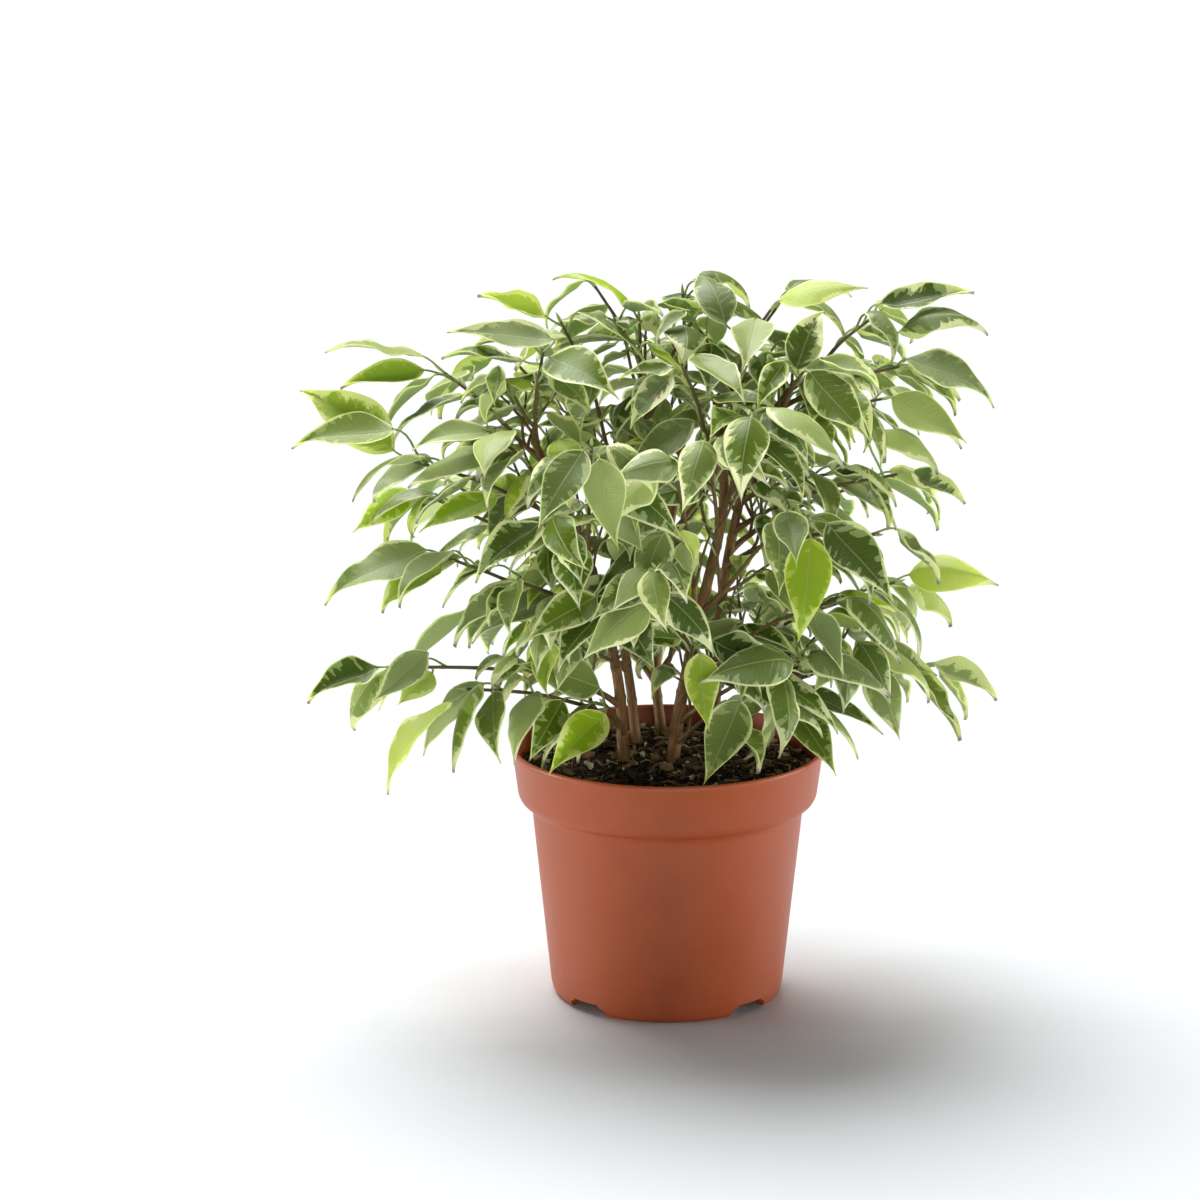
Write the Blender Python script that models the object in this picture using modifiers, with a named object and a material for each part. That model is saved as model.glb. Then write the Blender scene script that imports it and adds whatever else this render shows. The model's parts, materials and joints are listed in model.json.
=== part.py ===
"""A variegated weeping fig in a terracotta-coloured nursery pot.

Six rooted stems stand in potting soil. Each stem carries woody branches, and
each branch ends in a leafy spray: one thin twig with its leaves. The plant is
grown here by a seeded rule that keeps every piece clear of its neighbours.
Units are metres, +Z is up, +Y points away from the viewer, and the origin is
the centre of the pot's underside.
"""

import math
import random

import bmesh
import bpy
from mathutils import Matrix, Vector
from mathutils.bvhtree import BVHTree

MM = 0.001

# Pot
POT_HEIGHT = 98 * MM
RIM_RADIUS = 60 * MM
RIM_LIP = 1.8 * MM
COLLAR_HEIGHT = 20 * MM
COLLAR_FOOT_RADIUS = 57.4 * MM
SHOULDER_DROP = 3.2 * MM
BODY_TOP_RADIUS = 52.1 * MM
BODY_FOOT_RADIUS = 44.9 * MM
FOOT_ROUNDING = 3.6 * MM
FOOT_RADIUS = 42 * MM
WALL = 1.3 * MM
CHANNEL_HEIGHT = 5.2 * MM
CHANNEL_INNER_RADIUS = 19 * MM
CHANNEL_OUTER_RADIUS = 39.2 * MM
POT_SIDES = 32
NOTCH_COUNT = 4
NOTCH_WIDTH = 21 * MM
NOTCH_TOP_WIDTH = 15 * MM
NOTCH_HEIGHT = 4.6 * MM
DRAIN_COUNT = 8
DRAIN_RADIUS = 2.7 * MM
DRAIN_RING_RADIUS = 30 * MM

# Soil
GAP = 0.35 * MM
SOIL_EDGE_HEIGHT = 89.4 * MM
SOIL_CROWN_HEIGHT = 91.6 * MM
SOIL_BUMP = 1.1 * MM
STEM_ROOT_HEIGHT = 62 * MM

# Wood and leaves
SEED = 27
BRANCH_RADII = (1.25 * MM, 0.85 * MM)
TWIG_RADII = (0.82 * MM, 0.56 * MM)
TWIG_LENGTH = 58 * MM
JOIN_STRAIGHT = 3.5 * MM
PETIOLE_RADIUS = 0.6 * MM
PETIOLE_ROOT_RADIUS = 0.33 * MM
PETIOLE_LENGTH = 8.5 * MM
LEAF_LENGTH = (26 * MM, 39 * MM)
LEAF_ASPECT = 0.46
RIB_DEPTH = 1.2 * MM
EDGE_WAVE = 0.35 * MM
LEAF_STATIONS = (0.1, 0.36, 0.66, 0.86)
LEAVES_PER_SPRAY = 5
CLEARANCE = 0.45 * MM
CROWN_CENTRE = Vector((-4 * MM, 6 * MM, 150 * MM))
CROWN_REACH = 80 * MM

# Each stem's base radius and its route, in millimetres from the soil up.
STEMS = {
    "left": (2.9, [(-17, -1, 94), (-18, -3, 116), (-22, -6, 141), (-29, -9, 169), (-39, -12, 195), (-51, -12, 220)]),
    "rear_left": (2.5, [(-12, 24, 94), (-14, 25, 113), (-17, 27, 132), (-21, 31, 153), (-16, 34, 195), (-10, 32, 232)]),
    "middle": (3.3, [(2, -2, 94), (4, -5, 111), (8, -8, 133), (14, -7, 160), (21, 0, 194), (18, 6, 231)]),
    "right": (3.0, [(19, 29, 94), (19, 26, 113), (21, 20, 150), (26, 15, 183), (34, 10, 215), (48, 8, 238)]),
    "rear": (2.6, [(-2, 38, 94), (-4, 44, 115), (-2, 52, 145), (3, 60, 178), (8, 68, 212)]),
    "low_right": (2.2, [(30, 22, 94), (34, 18, 107), (42, 10, 118), (51, 4, 126)]),
}

# Each spray's stem, the share of that stem's height where its branch forks,
# the twig's tip in millimetres, and its placed leaves: (base, tip, face).
# The other leaves on the twig follow the rule in ruled_leaf.
UP = (0, 0, 1)
VIEWER = (0, -0.8, 0.6)
TILTED = (0, -0.45, 0.9)
TURNED_LEFT = (-0.9, -0.42, 0.3)
SPRAYS = {
    "low_left_long": ("left", 0.18, (-104, -25, 135), [
        ((-109, -25, 135), (-138, -30, 122), TILTED), ((-91, -25, 141), (-111, -35, 123), VIEWER),
        ((-89, -22, 132), (-102, -30, 121), VIEWER)]),
    "low_left_hanging": ("left", 0.1, (-76, -42, 131), [
        ((-81, -45, 127), (-106, -60, 95), TURNED_LEFT), ((-70, -46, 134), (-80, -58, 103), TURNED_LEFT)]),
    "mid_left": ("left", 0.38, (-86, -15, 176), [
        ((-91, -15, 178), (-132, -20, 159), TILTED), ((-85, -18, 173), (-110, -25, 156), TILTED)]),
    "left_pale": ("left", 0.53, (-90, 4, 194), [
        ((-97, 5, 196), (-120, 0, 181), VIEWER), ((-64, -20, 200), (-94, -30, 189), TILTED)]),
    "far_left": ("left", 0.72, (-97, -18, 213), [
        ((-103, -15, 216), (-140, 0, 238), VIEWER), ((-102, -28, 227), (-141, -35, 224), TILTED)]),
    "upper_left": ("left", 0.93, (-86, 10, 242), [
        ((-92, 10, 247), (-130, 5, 252), UP), ((-92, 5, 243), (-124, -4, 240), TILTED)]),
    "left_front": ("left", 0.8, (-64, -28, 224), [
        ((-67, -28, 226), (-96, -38, 222), TILTED), ((-66, -34, 218), (-98, -30, 205), TILTED)]),
    "top_left": ("left", 1.0, (-47, -4, 253), [
        ((-43, -8, 257), (-83, -14, 261), TILTED), ((-54, 0, 247), (-86, 2, 250), UP)]),
    "front_left_upper": ("left", 0.57, (-29, -56, 227), [
        ((-32, -62, 226), (-49, -80, 201), VIEWER), ((-26, -62, 223), (-21, -82, 193), VIEWER)]),
    "front_left_mid": ("left", 0.31, (-17, -52, 168), [
        ((-27, -56, 170), (-54, -70, 157), VIEWER), ((-9, -57, 167), (-33, -77, 151), VIEWER)]),
    "front_left_low": ("left", 0.08, (-24, -26, 122), [
        ((-24, -32, 119), (-46, -52, 101), VIEWER), ((-26, -26, 127), (-58, -35, 139), VIEWER),
        ((-40, -20, 121), (-53, -34, 99), VIEWER)]),
    "left_inner": ("left", 0.42, (-56, -42, 172), []),
    "left_inner_high": ("left", 0.5, (-47, -54, 197), []),
    "crown_left": ("rear_left", 1.0, (-11, 30, 258), [((-13, 30, 261), (-44, 30, 276), UP)]),
    "crown_far_left": ("rear_left", 0.8, (-41, 15, 260), [((-46, 12, 262), (-72, 6, 272), TILTED)]),
    "crown_middle": ("rear_left", 0.9, (10, 12, 262), []),
    "rear_left_low": ("rear_left", 0.28, (-74, 44, 140), []),
    "rear_left_mid": ("rear_left", 0.5, (-84, 50, 190), []),
    "rear_left_high": ("rear_left", 0.74, (-60, 56, 238), []),
    "centre_high": ("middle", 0.84, (4, -28, 252), []),
    "front_centre": ("middle", 0.5, (0, -50, 220), [((3, -54, 219), (-24, -66, 216), VIEWER)]),
    "front_low": ("middle", 0.25, (9, -44, 150), [
        ((11, -50, 147), (13, -64, 120), VIEWER), ((-3, -52, 170), (18, -64, 150), VIEWER)]),
    "front_mid_left": ("middle", 0.4, (-6, -60, 182), [((-8, -66, 182), (-3, -84, 163), VIEWER)]),
    "front_high": ("middle", 0.68, (12, -58, 230), [((12, -64, 230), (4, -84, 207), VIEWER)]),
    "front_high_right": ("middle", 0.78, (30, -54, 240), [((29, -60, 238), (23, -84, 211), VIEWER)]),
    "front_right": ("middle", 0.54, (49, -60, 202), [
        ((42, -70, 205), (45, -96, 192), VIEWER), ((51, -66, 194), (47, -84, 158), VIEWER),
        ((57, -58, 198), (82, -74, 172), VIEWER)]),
    "crown_right": ("middle", 1.0, (38, -5, 268), [
        ((41, -6, 271), (74, -8, 277), TILTED), ((21, -4, 262), (10, 24, 276), TILTED)]),
    "front_right_low": ("middle", 0.16, (49, -40, 141), [((46, -46, 142), (10, -60, 139), VIEWER)]),
    "front_over_soil": ("middle", 0.06, (27, -26, 122), [((27, -32, 124), (13, -51, 96), VIEWER)]),
    "front_right_mid": ("middle", 0.34, (62, -46, 166), []),
    "far_upper_right": ("right", 1.0, (78, 6, 264), [
        ((79, 6, 268), (115, 4, 274), TILTED), ((86, 0, 258), (121, -2, 260), TILTED)]),
    "right_upper": ("right", 0.9, (86, -14, 248), [((88, -15, 251), (123, -22, 236), TILTED)]),
    "right_mid_upper": ("right", 0.8, (79, -26, 238), [((82, -28, 239), (110, -38, 224), VIEWER)]),
    "front_right_upper": ("right", 0.86, (49, -44, 252), [
        ((50, -50, 253), (72, -66, 230), VIEWER), ((46, -34, 250), (56, -18, 272), VIEWER)]),
    "right_mid": ("right", 0.57, (86, -10, 206), [
        ((91, -10, 207), (112, -16, 196), TILTED), ((76, -20, 222), (101, -30, 211), TILTED)]),
    "right_inner": ("right", 0.64, (60, -10, 206), []),
    "far_right": ("right", 0.27, (87, 8, 160), [
        ((92, 8, 163), (127, 3, 160), VIEWER), ((92, 16, 156), (110, 20, 140), TILTED)]),
    "right_front_mid": ("right", 0.48, (76, -42, 190), []),
    "rear_right_high": ("right", 0.8, (84, 46, 236), []),
    "rear_right_mid": ("right", 0.52, (90, 52, 192), []),
    "rear_right_low": ("right", 0.24, (76, 52, 144), []),
    "rear_crown": ("rear", 1.0, (6, 54, 264), []),
    "rear_crown_right": ("rear", 0.86, (42, 44, 260), []),
    "rear_crown_left": ("rear", 0.9, (-28, 48, 268), []),
    "rear_high_left": ("rear", 0.62, (-36, 98, 212), []),
    "rear_high_right": ("rear", 0.66, (42, 98, 206), []),
    "rear_far": ("rear", 0.42, (2, 112, 176), []),
    "rear_low_left": ("rear", 0.2, (-44, 84, 140), []),
    "rear_low_right": ("rear", 0.22, (34, 90, 138), []),
    "low_right_long": ("low_right", 1.0, (99, 4, 128), [
        ((76, -5, 136), (103, -10, 129), VIEWER), ((102, 5, 129), (128, 0, 115), TILTED)]),
    "low_right_hanging": ("low_right", 0.8, (74, -20, 139), [
        ((71, -24, 145), (84, -34, 122), VIEWER), ((76, -22, 134), (87, -32, 108), VIEWER)]),
    "right_over_rim": ("low_right", 0.5, (46, -6, 116), [((47, -8, 115), (63, -31, 94), TILTED)]),
}

# Windows in the foliage, seen from the front, where the bare trunks show: x from and to, z from and to.
TRUNK_WINDOWS = ((-24 * MM, 24 * MM, 0, 142 * MM), (11 * MM, 31 * MM, 156 * MM, 213 * MM))
CROWN_TOP = 271 * MM

WOOD_BROWN = (0.118, 0.062, 0.036)
LEAF_GREEN = (0.16, 0.27, 0.07)
TERRACOTTA = (0.42, 0.115, 0.055)
SOIL_BROWN = (0.028, 0.018, 0.012)


def curve_through(route, count):
    """Points of a smooth Catmull-Rom curve through the route, evenly many in each of its steps."""
    padded = [2 * route[0] - route[1], *route, 2 * route[-1] - route[-2]]
    points = []
    for a, b, c, d in zip(padded, padded[1:], padded[2:], padded[3:]):
        for step in range(count):
            t = step / count
            points.append(0.5 * (2 * b + (c - a) * t + (2 * a - 5 * b + 4 * c - d) * t**2
                                 + (3 * b - a - 3 * c + d) * t**3))
    return points + [route[-1]]


def share_of(points, share):
    """The point at a share of the way along, and the direction there."""
    place = share * (len(points) - 1)
    index = min(int(place), len(points) - 2)
    step = points[index + 1] - points[index]
    return points[index] + step * (place - index), step.normalized()


def branch_route(fork, up_stem, tip, count=24):
    """A branch leaves its stem upwards, bows outwards, and ends a little flatter than it began."""
    reach = tip - fork
    level = Vector((reach.x, reach.y, 0)).normalized()
    leaving = (up_stem + level * 1.1).normalized()
    ending = (reach.normalized() + level * 0.4 + Vector((0, 0, -0.1))).normalized()
    bow = reach.length * 0.36
    near, far = fork + leaving * bow, tip - ending * bow
    points = []
    for step in range(count + 1):
        t = step / count
        points.append(fork * (1 - t) ** 3 + near * 3 * t * (1 - t) ** 2
                      + far * 3 * t**2 * (1 - t) + tip * t**3)
    return points


def leaf_outline(t):
    """Half width along a weeping fig's leaf: rounded base, widest near a third, slender drip tip."""
    return t**0.85 * (1 - t) ** 1.7 / 0.1972


class Leaf:
    """One leaf: a petiole sunk in its twig, and a blade that arches and is folded up or down at its rib."""

    def __init__(self, spray, share, base, tip, face, width):
        chord = tip - base
        self.root, self.share = share_of(spray.twig, share)[0], share
        self.base, self.arch = base, math.radians(rng.uniform(22, 72))
        self.along = chord.normalized()
        self.up = (face - self.along * face.dot(self.along)).normalized()
        self.across = self.along.cross(self.up)
        self.bend = chord.length / (2 * math.sin(self.arch / 2))
        self.half_width = width / 2
        self.fold = -1 if rng.random() < 0.6 else 1
        self.phases = {1: rng.uniform(0, math.tau), -1: rng.uniform(0, math.tau), 0: 0}

    def point(self, t, side, extra=0.0):
        """A point of the blade: t runs from base to tip, side is the right edge 1, the rib 0 or the left edge -1."""
        turn = self.arch * (t - 0.5)
        middle = (self.base + self.along * self.bend * (math.sin(turn) + math.sin(self.arch / 2))
                  + self.up * self.bend * (math.cos(turn) - math.cos(self.arch / 2)))
        normal = self.up * math.cos(turn) + self.along * math.sin(turn)
        width = leaf_outline(t)
        if side == 0:
            return middle + normal * self.fold * (RIB_DEPTH * (0.5 + 0.5 * width) + extra)
        wave = EDGE_WAVE * math.sin(8 * t + self.phases[side]) * width
        return middle + self.across * side * (self.half_width * width + extra) + normal * wave

    def skin(self, extra=0.0, sunk=True):
        """Closed mesh of petiole and blade in three-sided sections. Diagonals run alike on both faces."""
        stalk = (self.base - self.root).normalized()
        start = self.root if sunk else self.root + stalk * 1.6 * MM
        halfway = (stalk + self.along).normalized()
        side = (self.across - halfway * self.across.dot(halfway)).normalized()
        top = side.cross(halfway) * self.fold
        ring = [side * 0.87 - top * 0.5, -side * 0.87 - top * 0.5, top]
        verts = [start + corner * (PETIOLE_ROOT_RADIUS + extra) for corner in ring]
        verts += [self.base + corner * (PETIOLE_RADIUS + extra) for corner in ring]
        faces = [(0, 2, 1), (0, 1, 4, 3), (1, 2, 5, 4), (2, 0, 3, 5)]
        for k, t in enumerate(LEAF_STATIONS):
            verts += [self.point(t, 1, extra), self.point(t, -1, extra), self.point(t, 0, extra)]
            right, left, rib = range(3 + 3 * k, 6 + 3 * k)
            faces += [(right, rib, rib + 3), (right, rib + 3, right + 3), (left, rib, rib + 3), (left, rib + 3, left + 3)]
            near, far = (left, right) if stalk.dot(self.across) > 0 else (right, left)
            faces += [(near, far, far + 3), (near, far + 3, near + 3)]
        verts.append(self.point(1, 0) + self.along * extra)
        tip = len(verts) - 1
        return verts, faces + [(tip - 3, tip - 2, tip), (tip - 2, tip - 1, tip), (tip - 1, tip - 3, tip)]


def tube_skin(points, radii, extra=0.0):
    """Closed four-sided mesh round a path, for the clearance tests."""
    verts, faces = [], []
    for i, point in enumerate(points):
        ahead = (points[min(i + 1, len(points) - 1)] - points[max(i - 1, 0)]).normalized()
        side = ahead.cross(Vector((0.3, 0.2, 0.93))).normalized()
        other = ahead.cross(side)
        radius = radii[0] + (radii[1] - radii[0]) * i / (len(points) - 1) + extra
        verts += [point + side * radius, point + other * radius, point - side * radius, point - other * radius]
    for i in range(len(points) - 1):
        for a in range(4):
            b = (a + 1) % 4
            faces.append((4 * i + a, 4 * i + b, 4 * i + 4 + b, 4 * i + 4 + a))
    end = 4 * (len(points) - 1)
    return verts, faces + [(0, 1, 2, 3), (end, end + 1, end + 2, end + 3)]


class Thicket:
    """Everything grown so far, so that a new piece can be kept clear of it."""

    def __init__(self):
        self.held = []

    @staticmethod
    def shape_of(skin):
        verts, faces = skin
        low = Vector(map(min, zip(*verts)))
        high = Vector(map(max, zip(*verts)))
        return low, high, BVHTree.FromPolygons(verts, faces)

    def add(self, skin, owner):
        self.held.append((*self.shape_of(skin), owner))

    def is_clear(self, skin, apart_from=()):
        low, high, tree = self.shape_of(skin)
        for its_low, its_high, its_tree, owner in self.held:
            if owner in apart_from:
                continue
            if any(low[k] > its_high[k] or high[k] < its_low[k] for k in range(3)):
                continue
            if tree.overlap(its_tree):
                return False
        return True


class Spray:
    """A woody branch from its stem and the leafy twig that continues it."""

    def __init__(self, name, stem, fork, up_stem, tip):
        self.name, self.stem = name, stem
        self.leaves = []
        self.set_route(fork, up_stem, tip)

    def set_route(self, fork, up_stem, tip):
        route = branch_route(fork, up_stem, tip)
        length = sum((b - a).length for a, b in zip(route, route[1:]))
        woody = max(0.22, 1 - TWIG_LENGTH / length)
        join, ahead = share_of(route, woody)
        self.wood = [route[0], share_of(route, woody * 0.45)[0], join - ahead * JOIN_STRAIGHT, join]
        start = join + ahead * GAP
        self.twig = [start, start + ahead * JOIN_STRAIGHT]
        self.twig += [share_of(route, woody + (1 - woody) * k)[0] for k in (0.5, 1.0)]


def nearest_on(points, place, samples=60):
    """The point of a path nearest to a place, and its share of the way."""
    shares = [k / samples for k in range(samples + 1)]
    best = min(shares, key=lambda share: (share_of(points, share)[0] - place).length)
    return share_of(points, best)[0], best


def root_for(spray, share):
    """The nearest free place on the twig for a leaf's root, as a share of its length."""
    share = max(0.06, min(0.965, share))
    taken = [leaf.share for leaf in spray.leaves]
    steps = sorted((k * 0.012 for k in range(-30, 31)), key=abs)
    for step in steps:
        if 0.05 < share + step < 0.97 and all(abs(share + step - other) > 0.04 for other in taken):
            return share + step
    return share


def placed_leaf(spray, base, tip, face, draw):
    """A leaf at a stated place, nudged a little from draw to draw."""
    loose = min(draw, 12) * 0.5 * MM
    nudge = Vector([rng.uniform(-loose, loose) for _ in range(3)])
    base, tip = Vector(base) * MM, Vector(tip) * MM + nudge
    share = root_for(spray, nearest_on(spray.twig, base)[1])
    face = Vector(face) + Vector([rng.uniform(-0.05, 0.05) * draw for _ in range(3)])
    width = (tip - base).length * rng.uniform(0.92, 1.05) * LEAF_ASPECT
    return Leaf(spray, share, base, tip, face, max(width, 12 * MM))


def ruled_leaf(spray, share, hand, draw):
    """A leaf by rule: alternate sides of the twig, held out towards the light, its tip drooping."""
    share = root_for(spray, share)
    root, ahead = share_of(spray.twig, share)
    outward = (root - CROWN_CENTRE) / CROWN_REACH
    outward.z *= 0.35
    if outward.length > 1:
        outward.normalize()
    level = ahead.cross(Vector((0, 0, 1))).normalized() * hand
    spread = 0.15 if share > 0.97 else 1.0
    stray = Vector([rng.gauss(0, 0.22 + 0.03 * draw) for _ in range(3)])
    heading = (ahead * 0.6 + level * 0.8 * spread + outward * 0.6 + stray).normalized()
    heading.z = max(-0.75, min(0.55, heading.z))
    heading.normalize()
    base = root + (heading + Vector((0, 0, 0.35))).normalized() * PETIOLE_LENGTH * rng.uniform(0.8, 1.25)
    length = rng.uniform(*LEAF_LENGTH) * (1 - 0.012 * draw)
    droop = rng.uniform(0.55, 1.35)
    tip = base + (heading + Vector((0, 0, -droop))).normalized() * length
    face = Vector((0, 0, 1)) + outward * rng.uniform(0.5, 1.4) + Vector([rng.gauss(0, 0.25) for _ in range(3)])
    return Leaf(spray, share, base, tip, face, length * LEAF_ASPECT * rng.uniform(0.9, 1.12))


def hides_trunks(leaf):
    """True if the leaf would hang before the trunks in one of their windows."""
    places = [leaf.point(t, side) for t, side in ((0.3, 1), (0.3, -1), (0.65, 0), (1.0, 0))]
    return any(p.y < 5 * MM and left < p.x < right and low < p.z < high
               for p in places for left, right, low, high in TRUNK_WINDOWS)


def is_astray(leaf):
    """True if the leaf would hide the trunks or stand up out of the crown."""
    return hides_trunks(leaf) or max(leaf.point(t, 0).z for t in (0.0, 0.5, 1.0)) > CROWN_TOP


def settle_leaf(spray, thicket, make, draws, barred=lambda leaf: False):
    """Draws a leaf until it is clear of everything and not barred, and adds it to its spray."""
    for draw in range(draws):
        leaf = make(draw)
        if barred(leaf):
            continue
        own_twig = (f"twig_{spray.name}",)
        if not thicket.is_clear(leaf.skin(CLEARANCE, sunk=False), own_twig):
            continue
        if any((leaf.point(t, s) - nearest_on(spray.twig, leaf.point(t, s), 12)[0]).length < 1.6 * MM
               for t in (0.15, 0.5, 0.97) for s in (-1, 0, 1)):
            continue
        thicket.add(leaf.skin(), f"leaf_{spray.name}")
        spray.leaves.append(leaf)
        return True
    return False


def grow_plant():
    """The stems' routes and the sprays with their leaves, each clear of the others."""
    thicket = Thicket()
    ring = [Vector((math.cos(a), math.sin(a), 0)) for a in (math.tau * k / 24 for k in range(25))]
    thicket.add(tube_skin([r * (RIM_RADIUS - WALL / 2) + Vector((0, 0, POT_HEIGHT - 3 * MM)) for r in ring],
                          (2.8 * MM, 2.8 * MM)), "rim")
    soil = [Vector((0, 0, z)) for z in (40 * MM, SOIL_CROWN_HEIGHT + SOIL_BUMP)]
    thicket.add(tube_skin(soil, (90 * MM, 90 * MM)), "soil")
    stems = {}
    for name, (radius, route) in STEMS.items():
        above = curve_through([Vector(p) * MM for p in route], 2)
        foot = above[0].copy()
        foot.z = STEM_ROOT_HEIGHT
        stems[name] = ([foot, *above], radius * MM)
        thicket.add(tube_skin([foot, *above], (radius * MM, radius * 0.55 * MM)), f"stem_{name}")
    sprays = []
    for name, (stem, share, tip, _) in SPRAYS.items():
        above = stems[stem][0][1:]
        fork, up_stem = share_of(above, share)
        fork -= up_stem * (2 * MM if share == 1.0 else 0)
        spray = Spray(name, stem, fork, up_stem, Vector(tip) * MM)
        for draw in range(60):
            # A branch is bent clear by turning the way it leaves its stem and shifting its tip a little.
            own = (f"stem_{stem}",)
            kin = own + tuple(f"wood_{s.name}" for s in sprays if s.stem == stem)
            if (thicket.is_clear(tube_skin(spray.wood, BRANCH_RADII, CLEARANCE), kin)
                    and thicket.is_clear(tube_skin(spray.wood[1:], BRANCH_RADII, CLEARANCE), own)
                    and thicket.is_clear(tube_skin(spray.twig, TWIG_RADII, CLEARANCE))):
                break
            turn = Vector([rng.uniform(-0.3, 0.3) * (1 + draw / 20) for _ in range(3)])
            shift = Vector([rng.uniform(-3, 3) * MM for _ in range(3)])
            spray.set_route(fork, (up_stem + turn).normalized(), Vector(tip) * MM + shift)
        else:
            print("no clear route for", name)
        thicket.add(tube_skin(spray.wood, BRANCH_RADII), f"wood_{name}")
        thicket.add(tube_skin(spray.twig, TWIG_RADII), f"twig_{name}")
        sprays.append(spray)
    for spray in sprays:
        for base, tip, face in SPRAYS[spray.name][3]:
            if not settle_leaf(spray, thicket, lambda d: placed_leaf(spray, base, tip, face, d), 40):
                print("no room for a placed leaf on", spray.name)
    for turn in range(LEAVES_PER_SPRAY):
        for spray in sprays:
            if len(spray.leaves) >= LEAVES_PER_SPRAY:
                continue
            share = 1 - turn / (LEAVES_PER_SPRAY - 0.4) * 0.92
            hand = 1 if turn % 2 else -1
            settle_leaf(spray, thicket, lambda d: ruled_leaf(spray, share, hand, d), 30, is_astray)
    return stems, sprays


def material(name, colour, roughness):
    made = bpy.data.materials.new(name)
    made.use_nodes = True
    shader = made.node_tree.nodes["Principled BSDF"]
    shader.inputs["Base Color"].default_value = (*colour, 1)
    shader.inputs["Roughness"].default_value = roughness
    return made


def collection(name):
    made = bpy.data.collections.new(name)
    bpy.context.scene.collection.children.link(made)
    return made


def mesh_object(name, mesh, where):
    made = bpy.data.objects.new(name, mesh)
    where.objects.link(made)
    return made


def tube_object(name, points, radii, where, resolution=0):
    """A tapering tube as a bevelled poly curve, made a mesh with its caps welded."""
    curve = bpy.data.curves.new(name, "CURVE")
    curve.dimensions = "3D"
    curve.bevel_depth = 1.0
    curve.bevel_resolution = resolution
    curve.use_fill_caps = True
    spline = curve.splines.new("POLY")
    spline.points.add(len(points) - 1)
    for i, (point, place) in enumerate(zip(spline.points, points)):
        point.co = (*place, 1)
        point.radius = radii[0] + (radii[1] - radii[0]) * i / (len(points) - 1)
    drawn = mesh_object(name + "_curve", curve, where)
    bpy.context.view_layer.update()
    mesh = bpy.data.meshes.new_from_object(drawn.evaluated_get(bpy.context.evaluated_depsgraph_get()))
    bpy.data.objects.remove(drawn)
    edit = bmesh.new()
    edit.from_mesh(mesh)
    bmesh.ops.remove_doubles(edit, verts=edit.verts, dist=0.01 * MM)
    bmesh.ops.recalc_face_normals(edit, faces=edit.faces)
    edit.to_mesh(mesh)
    edit.free()
    return mesh_object(name, mesh, where)


def leaf_object(name, leaf, where):
    """A leaf's loft, which no primitive or modifier makes."""
    verts, faces = leaf.skin()
    edit = bmesh.new()
    made = [edit.verts.new(v) for v in verts]
    for face in faces:
        edit.faces.new([made[i] for i in face])
    bmesh.ops.recalc_face_normals(edit, faces=edit.faces)
    mesh = bpy.data.meshes.new(name)
    edit.to_mesh(mesh)
    edit.free()
    return mesh_object(name, mesh, where)


def fuse(body, helpers):
    """Joins a collection's objects into the body with one Boolean union, applied, and removes them."""
    union = body.modifiers.new("fused", "BOOLEAN")
    union.operation = "UNION"
    union.operand_type = "COLLECTION"
    union.collection = helpers
    union.solver = "EXACT"
    apply_modifiers(body)
    for helper in list(helpers.objects):
        bpy.data.objects.remove(helper)
    bpy.data.collections.remove(helpers)


def apply_modifiers(body):
    bpy.context.view_layer.update()
    mesh = bpy.data.meshes.new_from_object(body.evaluated_get(bpy.context.evaluated_depsgraph_get()))
    body.modifiers.clear()
    body.data = mesh
    mesh.name = body.name


def cut(body, cutters):
    """Cuts a collection of cutters from the body, applied, and removes them."""
    difference = body.modifiers.new("cut", "BOOLEAN")
    difference.operation = "DIFFERENCE"
    difference.operand_type = "COLLECTION"
    difference.collection = cutters
    difference.solver = "EXACT"
    apply_modifiers(body)
    for cutter in list(cutters.objects):
        bpy.data.objects.remove(cutter)
    bpy.data.collections.remove(cutters)


def turned(name, profile, where):
    """A solid turned about Z from a profile that runs out from the axis, over the top and down the outside."""
    mesh = bpy.data.meshes.new(name)
    mesh.from_pydata([(r, 0, z) for r, z in profile], [(i, i + 1) for i in range(len(profile) - 1)], [])
    made = mesh_object(name, mesh, where)
    screw = made.modifiers.new("turned", "SCREW")
    screw.steps = POT_SIDES
    screw.render_steps = POT_SIDES
    screw.use_merge_vertices = True
    screw.merge_threshold = 0.01 * MM
    apply_modifiers(made)
    return made


def pot_inside(offset):
    """The pot's inner profile from the axis to the top of the collar, moved inwards by an offset."""
    channel_top = CHANNEL_HEIGHT + WALL + offset
    body_top = POT_HEIGHT - COLLAR_HEIGHT - SHOULDER_DROP
    return [
        (0, WALL + offset),
        (CHANNEL_INNER_RADIUS - WALL - offset, WALL + offset),
        (CHANNEL_INNER_RADIUS + 0.5 * MM - offset, channel_top),
        (BODY_FOOT_RADIUS - WALL - offset - 1.5 * MM, channel_top),
        (BODY_FOOT_RADIUS - WALL - offset + 0.4 * MM, channel_top + 3 * MM),
        (BODY_TOP_RADIUS - WALL - offset, body_top),
        (COLLAR_FOOT_RADIUS - WALL - offset, POT_HEIGHT - COLLAR_HEIGHT + 1.2 * MM),
    ]


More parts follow.
